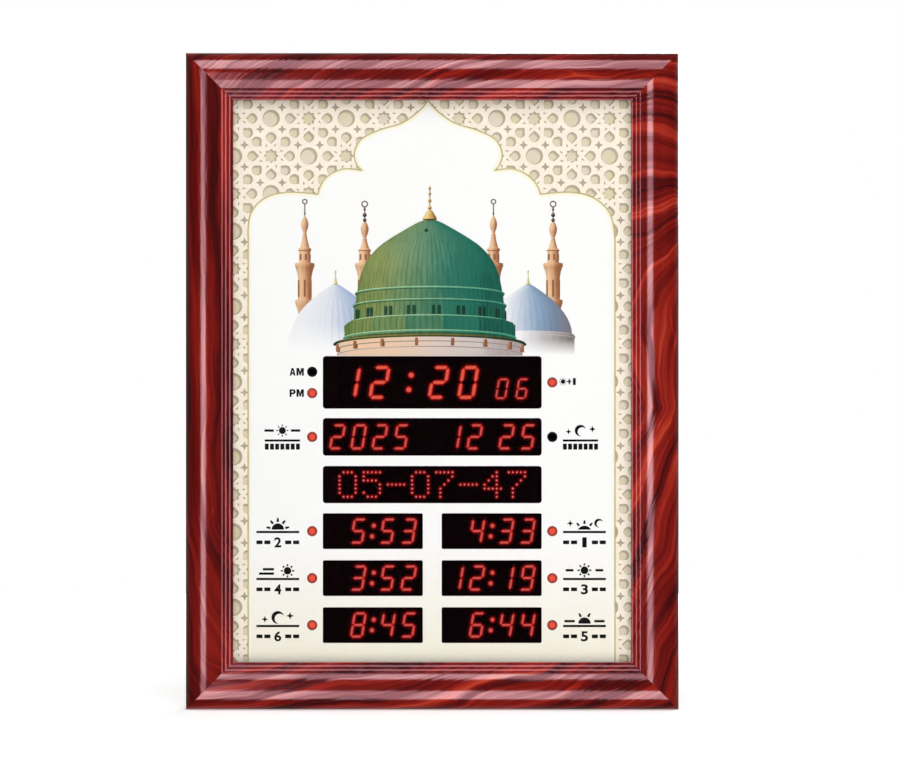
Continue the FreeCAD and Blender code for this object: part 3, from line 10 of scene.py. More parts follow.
import bmesh
import bpy
from mathutils import Matrix, Vector


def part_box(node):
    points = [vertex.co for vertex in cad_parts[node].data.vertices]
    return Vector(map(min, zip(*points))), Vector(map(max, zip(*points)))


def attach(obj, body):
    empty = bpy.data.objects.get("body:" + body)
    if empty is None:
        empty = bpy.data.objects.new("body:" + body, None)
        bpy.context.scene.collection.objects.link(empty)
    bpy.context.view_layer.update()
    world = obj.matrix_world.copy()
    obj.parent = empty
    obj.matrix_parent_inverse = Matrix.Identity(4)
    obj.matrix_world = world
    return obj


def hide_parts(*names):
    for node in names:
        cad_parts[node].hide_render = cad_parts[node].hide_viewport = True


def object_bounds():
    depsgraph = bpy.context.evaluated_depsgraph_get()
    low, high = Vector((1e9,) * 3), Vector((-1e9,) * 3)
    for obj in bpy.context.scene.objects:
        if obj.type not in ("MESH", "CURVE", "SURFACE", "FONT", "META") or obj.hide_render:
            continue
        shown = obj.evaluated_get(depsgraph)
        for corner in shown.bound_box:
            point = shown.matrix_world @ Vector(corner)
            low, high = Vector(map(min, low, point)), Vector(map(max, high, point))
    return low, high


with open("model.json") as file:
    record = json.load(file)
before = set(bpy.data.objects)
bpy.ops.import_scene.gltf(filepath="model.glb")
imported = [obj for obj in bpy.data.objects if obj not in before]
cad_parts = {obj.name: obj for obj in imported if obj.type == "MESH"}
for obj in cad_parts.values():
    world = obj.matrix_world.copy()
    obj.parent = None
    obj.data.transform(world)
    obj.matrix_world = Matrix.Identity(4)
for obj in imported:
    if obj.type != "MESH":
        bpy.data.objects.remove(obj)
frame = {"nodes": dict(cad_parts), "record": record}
nodes = frame["nodes"]
cad_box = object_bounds()
MM = 0.001
print("nodes", len(nodes), "box", [tuple(round(c, 3) for c in corner) for corner in cad_box])

# %% [markdown]
# ## Small helpers
# An operator works on what is selected, so each step first takes one piece in hand. A finished piece
# gets its name and its finish, has its place applied to its mesh, and rides on a body of the model.

# %% Take a piece in hand
def take(*pieces):
    """Select only these pieces; the first is the active one."""
    bpy.ops.object.select_all(action="DESELECT")
    for piece in pieces:
        piece.select_set(True)
    bpy.context.view_layer.objects.active = pieces[0]


def edit():
    bpy.ops.object.mode_set(mode="EDIT")


def leave():
    bpy.ops.object.mode_set(mode="OBJECT")


def fix_place():
    bpy.ops.object.transform_apply(location=True, rotation=True, scale=True)


# %% Choose faces by their place, and mend a mesh
def choose(test):
    """In edit mode, select the faces whose middle and normal pass the test."""
    shape = bmesh.from_edit_mesh(bpy.context.object.data)
    bpy.ops.mesh.select_mode(type="FACE")
    bpy.ops.mesh.select_all(action="DESELECT")
    for face in shape.faces:
        if test(face.calc_center_median(), face.normal):
            face.select_set(True)
    bmesh.update_edit_mesh(bpy.context.object.data)


def mend(nearer_than=0.01 * MM):
    """In edit mode, merge the points that fall together and turn every face outwards."""
    bpy.ops.mesh.select_all(action="SELECT")
    bpy.ops.mesh.remove_doubles(threshold=nearer_than)
    bpy.ops.mesh.normals_make_consistent(inside=False)


# %% Finish a piece
def settle(piece, name, finishes, body="housing"):
    """Name a piece, give it its finishes and let it ride on its body. Most are ink on the print."""
    take(piece)
    fix_place()
    piece.name = name
    piece.data.name = name
    piece.data.materials.clear()
    for finish in finishes if isinstance(finishes, list) else [finishes]:
        piece.data.materials.append(finish)
    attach(piece, body)
    print(name, "faces", len(piece.data.polygons))


def join(pieces):
    """Make one piece of several."""
    take(*pieces)
    bpy.ops.object.join()
    return bpy.context.object


def twin(piece, matrix):
    """A copy of a piece with its own mesh, moved or turned by a matrix."""
    other = piece.copy()
    other.data = piece.data.copy()
    other.data.transform(matrix)
    bpy.context.collection.objects.link(other)
    return other


print("helpers for pieces ready")

# %% [markdown]
# ## The camera
# The clock is seen square from the front, from far enough away that its sides stay hidden. A long
# lens does that. It looks a little below the middle, where the clock stands in the picture.

# %% Set up the camera
LENS = 120.0
AWAY = 2.3386
AIM = Vector((0.0137, 0.0, -0.0076))
bpy.ops.object.camera_add(location=(AIM.x, -AWAY, AIM.z), rotation=(math.pi / 2, 0, 0))
camera = bpy.context.object
camera.data.lens = LENS
camera.data.sensor_width = 36.0
camera.data.clip_start = 0.05
bpy.context.scene.camera = camera
bpy.context.scene.view_settings.view_transform = "Standard"
print("lens", LENS, "distance", AWAY)

# %% [markdown]
# ## Light
# Glossy wood shows its shape by the bands of light that lie along it. A soft box above and one below
# draw the bands on the top and bottom rails. One in front, a little to the left, is seen only by shiny
# surfaces and draws the line on the side rails, and one at the right lights only the matt ones. The
# last lights the rear. The world adds an even light and a white ground.

# %% Place the soft boxes
def soft_box(name, azimuth, elevation, distance, wide, tall, power, even=True, mirrored=True):
    """An area lamp on a sphere round the clock, turned to its middle."""
    a = math.radians(azimuth)
    e = math.radians(elevation)
    place = Vector((math.sin(a) * math.cos(e), -math.cos(a) * math.cos(e), math.sin(e))) * distance
    bpy.ops.object.light_add(type="AREA", location=place)
    lamp = bpy.context.object
    lamp.name = name
    lamp.rotation_euler = (-place).to_track_quat("-Z", "Y").to_euler()
    lamp.data.shape = "RECTANGLE"
    lamp.data.size = wide
    lamp.data.size_y = tall
    lamp.data.energy = power
    lamp.visible_camera = False
    lamp.visible_diffuse = even
    lamp.visible_glossy = mirrored


soft_box("box_above", 0, 55, 2.4, 1.3, 2.0, 32)
soft_box("box_below", 0, -40, 2.2, 1.3, 1.7, 24)
soft_box("box_front", -24, 0, 1.53, 0.65, 1.0, 7.5, even=False)
soft_box("box_right", 38, 8, 2.4, 1.2, 1.2, 9, mirrored=False)
soft_box("box_rear", 160, 22, 2.4, 1.4, 1.4, 30)

# %% [markdown]
# A shader is a net of nodes. One short function adds a node and joins its inputs, so that each net
# below can be read as a list of steps. A second one stretches a range of values, which is needed often.

# %% Add a node to a shader
def add_node(tree, kind, inputs=None, **settings):
    """A node; an input is given as a value or as another node's output."""
    made = tree.nodes.new("ShaderNode" + kind)
    for key, value in settings.items():
        setattr(made, key, value)
    for key, value in (inputs or {}).items():
        if isinstance(value, bpy.types.NodeSocket):
            tree.links.new(value, made.inputs[key])
        else:
            made.inputs[key].default_value = value
    return made


def spread(tree, value, low, high, new_low=0.0, new_high=1.0):
    """Stretch one range of a value to another; beyond its ends it stays level."""
    inputs = {"Value": value, "From Min": low, "From Max": high, "To Min": new_low, "To Max": new_high}
    return add_node(tree, "MapRange", inputs).outputs[0]


print("helpers for nodes ready")

# %% The world: white to the eye, an even light on the clock
AMBIENT = 0.335
FRONT_DIM = 0.03
REAR_DIM = 0.15
REAR_FROM = 0.6
world = bpy.data.worlds.new("studio")
bpy.context.scene.world = world
world.use_nodes = True
sky = world.node_tree
sky.nodes.clear()
rays = add_node(sky, "LightPath").outputs
looking = add_node(sky, "TexCoord").outputs["Generated"]
rearwards = add_node(sky, "SeparateXYZ", {0: looking}).outputs["Y"]
# a shiny surface sees a dim room in front of the clock, a little lighter behind it
room = spread(sky, rearwards, 0.0, REAR_FROM, FRONT_DIM, REAR_DIM)
level = AMBIENT
for ray, other in (("Is Glossy Ray", room), ("Is Transmission Ray", 1.0), ("Is Camera Ray", 1.0)):
    level = add_node(sky, "Mix", {"Factor": rays[ray], "A": level, "B": other}).outputs["Result"]
ground = add_node(sky, "Background", {"Color": (1, 1, 1, 1), "Strength": level})
add_node(sky, "OutputWorld", {"Surface": ground.outputs[0]})
print("world ready, ambient", AMBIENT)

# %% [markdown]
# ## The floor
# The clock stands on a pale floor that melts into the white ground. Its shader adds a little light of
# its own where the camera looks, and more of it farther out, so that only the shadow near the frame
# stays darker than white and the floor's edge doesn't show.

# %% Lay the floor
FLOOR_SIZE, FLOOR_Y = 3.0, -0.2
FLOOR_DROP = 0.3 * MM
FLOOR_COLOUR = (0.95, 0.945, 0.94, 1)
NEAR, FAR = 0.5, 1.3
NEAR_LIFT, FAR_LIFT = 0.31, 1.0
bpy.ops.mesh.primitive_grid_add(x_subdivisions=4, y_subdivisions=4, size=FLOOR_SIZE)
floor = bpy.context.object
floor.name = "floor"
floor.location = (0.0, FLOOR_Y, cad_box[0].z - FLOOR_DROP)
take(floor)
fix_place()
floor.visible_glossy = False
floor.visible_shadow = False
floor_coat = bpy.data.materials.new("floor_white")
floor_coat.use_nodes = True
tree = floor_coat.node_tree
tree.nodes.clear()
spot = add_node(tree, "TexCoord").outputs["Object"]
reach = add_node(tree, "VectorMath", {0: spot}, operation="LENGTH").outputs["Value"]
melt = spread(tree, reach, NEAR, FAR, NEAR_LIFT, FAR_LIFT)
seen = add_node(tree, "LightPath").outputs["Is Camera Ray"]
lift = add_node(tree, "Math", {0: seen, 1: melt}, operation="MULTIPLY").outputs[0]
matt = add_node(tree, "BsdfDiffuse", {"Color": FLOOR_COLOUR}).outputs[0]
glow = add_node(tree, "Emission", {"Strength": lift}).outputs[0]
both = add_node(tree, "AddShader", {0: matt, 1: glow}).outputs[0]
add_node(tree, "OutputMaterial", {"Surface": both})
floor.data.materials.append(floor_coat)
print("floor at", round(cad_box[0].z, 4))

# %% [markdown]
# ## A way to write finishes
# Each finish is one principled shader. Its colour, roughness and bump come from a few texture nodes
# that read the object's own coordinates, so the pattern has its real size and stays on the piece.

# %% Finishes from nodes
def rgb(code):
    """A colour written as in a paint chart, such as 7a1510, as linear light."""
    parts = [int(code[i : i + 2], 16) / 255 for i in (0, 2, 4)]
    return [c / 12.92 if c <= 0.04045 else ((c + 0.055) / 1.055) ** 2.4 for c in parts] + [1.0]


class Finish:
    """A material with one principled shader and short ways to add nodes."""

    def __init__(self, name, colour="808080", rough=0.5, metal=0.0, gloss=0.5):
        self.material = bpy.data.materials.new(name)
        self.material.use_nodes = True
        self.tree = self.material.node_tree
        self.shader = self.tree.nodes["Principled BSDF"]
        self.set("Base Color", rgb(colour))
        self.set("Roughness", rough)
        self.set("Metallic", metal)
        self.set("Specular IOR Level", gloss)

    def set(self, socket, value):
        self.shader.inputs[socket].default_value = value

    def add(self, kind, inputs=None, **settings):
        return add_node(self.tree, kind, inputs, **settings)

    def feed(self, output, socket):
        self.tree.links.new(output, self.shader.inputs[socket])

    def math(self, operation, *values):
        return self.add("Math", dict(enumerate(values)), operation=operation).outputs[0]

    def spread(self, value, *ends):
        return spread(self.tree, value, *ends)

    def mix(self, share, first, second):
        """A colour between two others."""
        return self.add("Mix", {0: share, 6: first, 7: second}, data_type="RGBA").outputs[2]

    def spots(self, vector, scale, detail):
        """Noise over a vector; scale may be one number or one for each axis."""
        if not isinstance(scale, (int, float)):
            vector = self.add("Mapping", {"Vector": vector, "Scale": scale}).outputs[0]
            scale = 1.0
        inputs = {"Vector": vector, "Scale": scale, "Detail": detail}
        return self.add("TexNoise", inputs).outputs["Fac"]

    def sway(self, vector, scale, detail):
        """Noise that swings to both sides of nought."""
        return self.math("SUBTRACT", self.spots(vector, scale, detail), 0.5)

    def ramp(self, value, *stops):
        """A colour ramp; each stop is a place and a colour."""
        made = self.add("ValToRGB", {"Fac": value})
        bar = made.color_ramp.elements
        while len(bar) < len(stops):
            bar.new(0.5)
        for mark, (spot, _) in zip(bar, stops):
            mark.position = spot
        for mark, (_, colour) in zip(bar, stops):
            mark.color = rgb(colour)
        return made.outputs["Color"]

    def bump(self, height, distance, strength=1.0):
        inputs = {"Height": height, "Distance": distance, "Strength": strength}
        self.feed(self.add("Bump", inputs).outputs["Normal"], "Normal")

    def place(self):
        return self.add("TexCoord").outputs["Object"]


print("finish helper ready")

# %% [markdown]
# ## The rails
# A moulding is one outline pushed along a straight line and sawn at 45 degrees. The outline is drawn
# point by point: a broad round outside, a crown that falls towards the picture, and three fine
# reeds. Each arc is a run of short steps, and smooth shading hides them.

# %% The sizes of the moulding, in millimetres
RAIL_FACE = 36.8
REAR = 4.0
SIDE_TOP = 24.5
CREST_IN, CREST, CREST_ROUND = 16.0, 36.0, 16.6
SHOULDER, CROWN_ROUND = 32.6, 21.6
REED_WIDE, REED_DROP, REED_ROUND = 3.05, 0.4, 4.0
REEDS_TOP = 31.6
LIP_FACE = 28.0
REBATE_IN = 29.0
COVER_IN, COVER_SEAT = 22.0, 6.2
print("rail", RAIL_FACE, "wide,", CREST - REAR, "deep")


# %% Draw an arc
def arc(start, end, radius, steps):
    """Points after start up to end on an arc that bulges away from the wood."""
    a, b = Vector(start), Vector(end)
    half = (b - a) / 2
    side = Vector((half.y, -half.x)).normalized()
    middle = a + half + side * math.sqrt(radius**2 - half.length_squared)
    first = math.atan2(a.y - middle.y, a.x - middle.x)
    last = math.atan2(b.y - middle.y, b.x - middle.x)
    turn = (last - first + math.pi) % (2 * math.pi) - math.pi
    points = []
    for i in range(1, steps + 1):
        angle = first + turn * i / steps
        points.append((middle.x + radius * math.cos(angle), middle.y + radius * math.sin(angle)))
    return points


print("quarter round", [tuple(round(c, 2) for c in point) for point in arc((0, 0), (1, 1), 1, 3)])

# %% Draw the outline of the moulding
reeds_in = RAIL_FACE - 3 * REED_WIDE
outline = [(0.0, REAR), (0.0, SIDE_TOP)]
outline += arc(outline[-1], (CREST_IN, CREST), CREST_ROUND, 14)
outline += arc(outline[-1], (reeds_in, SHOULDER), CROWN_ROUND, 10)
outline.append((reeds_in, REEDS_TOP))
for i in range(1, 4):
    outline += arc(outline[-1], (reeds_in + i * REED_WIDE, REEDS_TOP - REED_DROP * i), REED_ROUND, 8)
front_count = len(outline)
outline += [(RAIL_FACE, LIP_FACE), (REBATE_IN, LIP_FACE), (REBATE_IN, COVER_SEAT)]
outline += [(COVER_IN, COVER_SEAT), (COVER_IN, REAR)]
print("outline points", len(outline), "on the show side", front_count)

# %% [markdown]
# ## From outline to rail
# A plane shrunk to one point is the pencil: each extrusion of that point adds the next corner. The
# closed outline is filled, pushed along the length of the rail, and two bisects saw the mitres.

# %% Soften the edges
def soften_edges(piece, width):
    """A fine bevel on the sharp edges."""
    take(piece)
    bpy.ops.object.modifier_add(type="BEVEL")
    bevel = piece.modifiers[-1]
    bevel.width = width
    bevel.segments = 2
    bevel.limit_method = "ANGLE"
    bevel.angle_limit = math.radians(60)
    bpy.ops.object.modifier_apply(modifier=bevel.name)


# %% Push the outline along and saw the mitres
def model_rail(length, half):
    """A rail along X at the top, its outer edge at height half, sawn from a longer length."""
    spare = 3 * MM
    corners = [Vector((-length / 2 - spare, -out * MM, half - u * MM)) for u, out in outline]
    bpy.ops.mesh.primitive_plane_add(size=MM)
    edit()
    bpy.ops.mesh.select_all(action="SELECT")
    bpy.ops.mesh.merge(type="CENTER")
    bpy.ops.transform.translate(value=corners[0])
    for before, after in zip(corners, corners[1:]):
        bpy.ops.mesh.extrude_vertices_move(TRANSFORM_OT_translate={"value": after - before})
    bpy.ops.mesh.select_all(action="SELECT")
    bpy.ops.mesh.edge_face_add()
    bpy.ops.mesh.extrude_region_move(TRANSFORM_OT_translate={"value": (length + 2 * spare, 0, 0)})
    bpy.ops.mesh.select_all(action="SELECT")
    bpy.ops.mesh.normals_make_consistent(inside=False)
    leave()
    soften_edges(bpy.context.object, 0.25 * MM)
    edit()
    for side in (-1, 1):
        bpy.ops.mesh.select_all(action="SELECT")
        bpy.ops.mesh.bisect(
            plane_co=(side * length / 2, 0, half),
            plane_no=(side, 0, -1),
            use_fill=True,
            clear_outer=True,
        )
    leave()
    bpy.ops.object.shade_smooth_by_angle(angle=math.radians(30))
    return bpy.context.object


print("a rail is sawn from a length with", len(outline), "corners")

# %% [markdown]
# ## Grain follows the rail
# The rails are wrapped in a printed mahogany foil. Its figure runs along each rail and round the
# moulding, so the finish reads a map with the length in one direction and the way round the outline
# in the other. A shift for each rail keeps the four from showing the same figure.

# %% Lay the foil's map on a rail
around = [0.0]
for before, after in zip(outline, outline[1:]):
    around.append(around[-1] + (Vector(after) - Vector(before)).length * MM)


def lay_foil(piece, half, shift):
    """Map: along the rail, and round the outline from the rear edge."""
    foil = piece.data.uv_layers.new(name="foil")
    for loop in piece.data.loops:
        spot = piece.data.vertices[loop.vertex_index].co
        at = Vector(((half - spot.z) / MM, -spot.y / MM))
        nearest = min(range(len(outline)), key=lambda i: (Vector(outline[i]) - at).length)
        foil.data[loop.index].uv = (spot.x + shift, around[nearest])


print("way round the outline", round(around[front_count - 1], 4), "m on the show side")

# %% Make the four rails
low, high = cad_box
HALF_TURN = Matrix.Rotation(math.pi, 4, "Y")
QUARTER = Matrix.Rotation(math.pi / 2, 4, "Y")
rails = {}
for name, length, half, turn, shift in (
    ("top", high.x - low.x, high.z, Matrix.Identity(4), 0.0),
    ("bottom", high.x - low.x, high.z, HALF_TURN, 1.7),
    ("left", high.z - low.z, high.x, QUARTER.inverted(), 3.1),
    ("right", high.z - low.z, high.x, QUARTER, 5.3),
):
    piece = model_rail(length, half)
    lay_foil(piece, half, shift)
    piece.data.transform(turn)
    rails[name] = piece
    print(name, "size", [round(d, 3) for d in piece.dimensions], "faces", len(piece.data.polygons))

# %% [markdown]
# ## Mahogany
# The figure of the wood is a set of strands that run along the rail, lean, and swirl. One height,
# read across the strands, tells them apart: the way round the outline, plus a lean that changes from
# one place on the rail to another, plus a slow swirl and a ripple. Noise that is short across this
# height and long beside it gives wide flames, fine strands and hair lines. The same strands set how
# much lacquer lies on top and a shallow relief, so a band of light that crosses them is streaked too.
# The narrow reeds get little lacquer.

# %% Write the mahogany finish
REEDS_AT = around[outline.index((reeds_in, REEDS_TOP))]
REEDS_FADE = 0.5 * MM
RIPPLE = 5.0 * MM
RELIEF = 0.25 * MM
HAIR_LIGHT, HAIR_FINE = 0.20, 36.0


def mahogany(name, level, contrast, places, around_parts, along_parts, swirls):
    """Glossy red wood. Between two places along the rail the strands turn and swirl more or less."""
    wood = Finish(name)
    wood.set("IOR", 1.75)
    wood.set("Specular Tint", rgb("ffb9c6"))
    wood.set("Coat IOR", 1.8)
    wood.set("Coat Roughness", 0.14)
    foil = wood.add("UVMap", uv_map="foil").outputs[0]
    along, across, _ = wood.add("SeparateXYZ", {0: foil}).outputs

    def change(pair):
        return wood.spread(along, *places, *pair)

    away = wood.math("SUBTRACT", along, (places[0] + places[1]) / 2)
    swirl = wood.sway(foil, (11.0, 17.0, 1.0), 1.0)
    ripple = wood.sway(foil, (40.0, 60.0, 1.0), 1.0)
    height = wood.math("MULTIPLY", across, change(around_parts))
    height = wood.math("MULTIPLY_ADD", away, change(along_parts), height)
    height = wood.math("MULTIPLY_ADD", swirl, change(swirls), height)
    height = wood.math("MULTIPLY_ADD", ripple, RIPPLE, height)
    strands = wood.add("CombineXYZ", {"X": along, "Y": height}).outputs[0]
    flames = wood.sway(strands, (5.0, 95.0, 1.0), 2.0)
    fine = wood.sway(strands, (9.0, 430.0, 1.0), 3.0)
    value = wood.math("MULTIPLY_ADD", flames, contrast, level)
    value = wood.math("MULTIPLY_ADD", fine, 0.4 * contrast, value)
    # a hair line lies where a third noise crosses nought
    crossing = wood.math("ABSOLUTE", wood.sway(strands, (3.0, 60.0, 1.0), 1.0))
    hairs = wood.math("SUBTRACT", HAIR_LIGHT, wood.math("MULTIPLY", crossing, HAIR_FINE))
    hairs = wood.math("MAXIMUM", hairs, 0.0)
    tone = wood.ramp(
        wood.math("ADD", value, hairs),
        (0.00, "1f0407"),
        (0.26, "3f0707"),
        (0.46, "600c08"),
        (0.64, "7e1309"),
        (0.82, "9c2110"),
        (1.00, "b83a22"),
    )
    wood.feed(tone, "Base Color")
    # the dark strands are duller, so the bands of light are streaked as well
    wood.feed(wood.spread(value, 0.25, 0.75, 0.17, 0.13), "Roughness")
    lacquer = wood.spread(value, 0.40, 0.74, 0.0, 0.72)
    off_reeds = wood.spread(across, REEDS_AT - REEDS_FADE, REEDS_AT + REEDS_FADE, 1.0, 0.1)
    wood.feed(wood.math("MULTIPLY", lacquer, off_reeds), "Coat Weight")
    wood.bump(value, RELIEF)
    return wood.material


# %% Give each rail its own wood
# the second number is each rail's tone; the left rail is made darker and the right one lighter, painted
# shade and painted light as if lit from the right
woods = {
    "top": mahogany("mahogany_top", 0.52, 1.6, (-0.2, 0.2), (1, 1), (0.62, 0.25), (0.02, 0.03)),
    "bottom": mahogany("mahogany_bottom", 0.48, 1.7, (1.51, 1.89), (1, 1), (0.42, 0.2), (0.03, 0.03)),
    "left": mahogany("mahogany_left", 0.44, 1.3, (3.08, 2.90), (1, 1), (0.03, 0.35), (0.012, 0.05)),
    "right": mahogany("mahogany_right", 0.56, 1.8, (5.12, 5.32), (0.2, -1), (1.0, 0.4), (0.03, 0.03)),
}
print("woods", list(woods))

# %% [markdown]
# The foil covers what shows. The rear and the rebate stay raw fibreboard: brown, matt, with a fine
# speckle of fibres.

# %% Write the fibreboard finish and dress the rails
board = Finish("raw_fibreboard", rough=0.85, gloss=0.3)
speck = board.spots(board.place(), (900, 900, 900), detail=4.0)
cloud = board.spots(board.place(), 45.0, detail=2.0)
tint = board.math("MULTIPLY_ADD", cloud, 0.5, speck)
board.feed(board.ramp(tint, (0.45, "6b4a30"), (0.75, "8f6a47"), (1.0, "a98560")), "Base Color")
board.bump(speck, 0.0001, 0.5)

for name, piece in rails.items():
    settle(piece, "moulding_" + name, [woods[name], board.material])
    across = 2 if name in ("top", "bottom") else 0
    edge = high[across]
    raw = 0
    for face in piece.data.polygons:
        inward = (edge - abs(face.center[across])) / MM
        outward = -face.center.y / MM
        if outward < REAR + 0.2 or (inward > COVER_IN - 1.0 and outward < LIP_FACE + 0.1):
            face.material_index = 1
            raw += 1
    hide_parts("frame_rail_" + name)
    print(name, "raw faces", raw)

# %% [markdown]
# ## Finishes for the solid parts
# The other parts of the clock keep the shape that the solid model gives them. Each gets a finish of
# its kind: moulded plastic with a fine texture, brushed or plated metal, rubber, printed board.

# %% Finishes of plastic and rubber
def moulded(name, colour, other, rough, grain=0.00004, scale=2200.0, gloss=0.5):
    """Moulded plastic: two close tones in soft clouds and a spark-eroded texture."""
    plastic = Finish(name, rough=rough, gloss=gloss)
    place = plastic.place()
    cloud = plastic.spots(place, 30.0, detail=3.0)
    plastic.feed(plastic.ramp(cloud, (0.3, colour), (0.7, other)), "Base Color")
    plastic.bump(plastic.spots(place, scale, detail=1.0), grain, 0.6)
    return plastic.material


cover_black = moulded("cover_plastic", "17181a", "1f2022", 0.55)
case_black = moulded("display_case_plastic", "050505", "090808", 0.6, 0.00001, 900.0, 0.05)
key_black = moulded("key_plastic", "4b4d51", "56585c", 0.4)
lid_black = moulded("lid_plastic", "313236", "3b3c41", 0.42)
part_black = moulded("black_plastic", "101112", "191a1b", 0.45)
socket_white = moulded("socket_plastic", "d8d4c8", "e4e0d5", 0.45)
rubber = moulded("bumper_rubber", "1a1a1b", "262627", 0.8, 0.00008, 900.0, 0.3)
gasket = moulded("gasket_rubber", "0e0d0d", "151414", 0.75, 0.00005, 1200.0, 0.2)
packing = moulded("packing_board", "8c7a5c", "a08c6a", 0.9, 0.0001, 700.0, 0.2)
cone = moulded("cone_paper", "1b1a19", "2a2826", 0.9, 0.0001, 1500.0, 0.2)
lead = moulded("lead_plastic", "141414", "202020", 0.35)
sensor = moulded("sensor_plastic", "0b0808", "140e0e", 0.25)
print("plastics ready")

# %% [markdown]
# Screws and hangers are plated steel; the coin cell and the capacitor cans are drawn metal. One noise
# drives both tone and shine, and stretched along a part it makes fine streaks. The speaker's magnet is
# ferrite, a dark and dull ceramic, so it gets a moulded finish.

# %% Finishes of metal
def metal(name, dark, light, rough, scale):
    """Plated or drawn metal: fine streaks change its tone and its shine."""
    steel = Finish(name, metal=1.0, rough=rough)
    streak = steel.spots(steel.place(), scale, detail=3.0)
    steel.feed(steel.ramp(streak, (0.3, dark), (0.7, light)), "Base Color")
    steel.feed(steel.math("MULTIPLY_ADD", streak, 0.25, rough - 0.1), "Roughness")
    steel.bump(streak, 0.00002, 0.5)
    return steel.material


zinc = metal("zinc_steel", "9a9a96", "c9c8c2", 0.34, (400, 400, 120))
nail = metal("nail_steel", "7d7c78", "a09f9a", 0.4, (300, 300, 300))
cell = metal("cell_steel", "a9a9a7", "d2d1ce", 0.25, (900, 60, 900))
can = metal("can_aluminium", "b2b3b5", "d8d9db", 0.3, (600, 80, 600))
magnet = moulded("magnet_ferrite", "232222", "323130", 0.6, 0.00006, 800.0)
print("metals ready")

# %% [markdown]
# The circuit board is green laminate over a woven glass cloth. A brick pattern, whose joints are a
# lighter green, stands for the tracks under the varnish; a noise, stretched one way, gives the weave.

# %% Finish of the circuit board
laminate = Finish("board_laminate", rough=0.35)
place = laminate.place()
weave = laminate.spots(place, (1500, 200, 1500), detail=1.0)
track = laminate.add("TexBrick", {"Vector": place, "Scale": 130.0, "Mortar Size": 0.03})
track.inputs["Color1"].default_value = rgb("0c2a18")
track.inputs["Color2"].default_value = rgb("0f341e")
track.inputs["Mortar"].default_value = rgb("174828")
laminate.feed(track.outputs["Color"], "Base Color")
laminate.bump(weave, 0.00003, 0.5)
print("board ready")

# %% [markdown]
# ## Clear sheets
# The front glass barely shows: a little alpha carries a faint reflection. Behind the windows a dark
# smoke sheet hides the board. Its alpha counts on both of its faces, so only about a ninth of the
# light from behind comes through, and the red light is made strong enough for that.

# %% Finishes of the glass and the smoke sheet
glass = Finish("clear_glass", "0c1210", rough=0.03, gloss=0.35)
glass.set("Alpha", 0.02)
smoke = Finish("smoke_acrylic", "0a0103", rough=0.2, gloss=0.02)
smoke.set("Alpha", 0.66)
print("clear sheets ready")

# %% [markdown]
# ## Red light
# The bars and dots that are on send out red light of their own. Those that are off are almost as
# black as their case.

# %% Finishes of the displays
def lit(name, colour, strength):
    light = Finish(name, colour, gloss=0.1)
    light.set("Emission Color", rgb(colour))
    light.set("Emission Strength", strength)
    return light.material


bar_red = lit("lit_red", "ff3828", 3.8)
off_red = moulded("unlit_red", "080203", "0b0304", 0.6, 0.00001, gloss=0.05)
print("light ready")

# %% [markdown]
# ## Dress the solid parts
# The record of the part names a finish slot for each node. One table from slot to finish dresses
# them all, and the rails and pieces modelled here are dressed on their own.

# %% Give each solid its finish
finishes = {
    "frame_wood": board.material,
    "nail_steel": nail,
    "clear_glass": glass.material,
    "gasket_rubber": gasket,
    "smoke_acrylic": smoke.material,
    "packing_board": packing,
    "board_laminate": laminate.material,
    "display_case": case_black,
    "lit_red": bar_red,
    "unlit_red": off_red,
    "sensor_plastic": sensor,
    "cover_plastic": cover_black,
    "zinc_steel": zinc,
    "bumper_rubber": rubber,
    "magnet_ferrite": magnet,
    "cone_paper": cone,
    "black_plastic": part_black,
    "key_plastic": key_black,
    "cell_steel": cell,
    "can_aluminium": can,
    "socket_plastic": socket_white,
    "lead_plastic": lead,
}


def dress(node, finish):
    """Give a solid of the model one finish."""
    nodes[node].data.materials.clear()
    nodes[node].data.materials.append(finish)


for part in frame["record"]["subparts"]:
    if part["material_slot"] in finishes:
        dress(part["node"], finishes[part["material_slot"]])
# the battery lid is a moulding of its own, a little lighter than the cover round it
dress("battery_lid", lid_black)
print("dressed", len(finishes), "slots")

# %% [markdown]
# ## The printed sheet
# The sheet behind the glass carries a print: a carved lattice round a white arch. The ink is laid in
# thin layers on the sheet, each a few hundredths of a millimetre in front of the last. Flat layers
# of real shape keep every edge crisp, which a painted picture would not.

# %% Finishes of the print
INK_GLOSS = 0.1


def ink(name, first, second, scale):
    """Printer's ink: two close tones in soft clouds."""
    paint = Finish(name, gloss=INK_GLOSS)
    cloud = paint.spots(paint.place(), scale, detail=3.0)
    paint.feed(paint.ramp(cloud, (0.35, first), (0.65, second)), "Base Color")
    return paint.material


strap_ink = ink("print_lattice_strap", "faecdc", "fdf4e2", 80.0)
floor_ink = ink("print_lattice_floor", "ded2ae", "e4d7c4", 45.0)
soft_ink = ink("print_lattice_soft_shade", "c6b99c", "cfc3a9", 45.0)
shade_ink = ink("print_lattice_shade", "b0a388", "bcb09a", 70.0)
black_ink = ink("print_black", "050505", "0a0a0a", 70.0)
gold_ink = ink("print_gold_line", "bab07f", "cbc296", 90.0)
dress("face_panel", strap_ink)

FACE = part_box("face_panel")[0].y
LAYER = 0.04 * MM
print("print lies on y", round(FACE, 5))

# %% [markdown]
# ## The outline of the arch
# The arch is mirror-symmetric: an ogee with two lobes on each side. Only the right half is written
# down. A smooth line through the points is drawn between each pair of cusps, where it breaks.

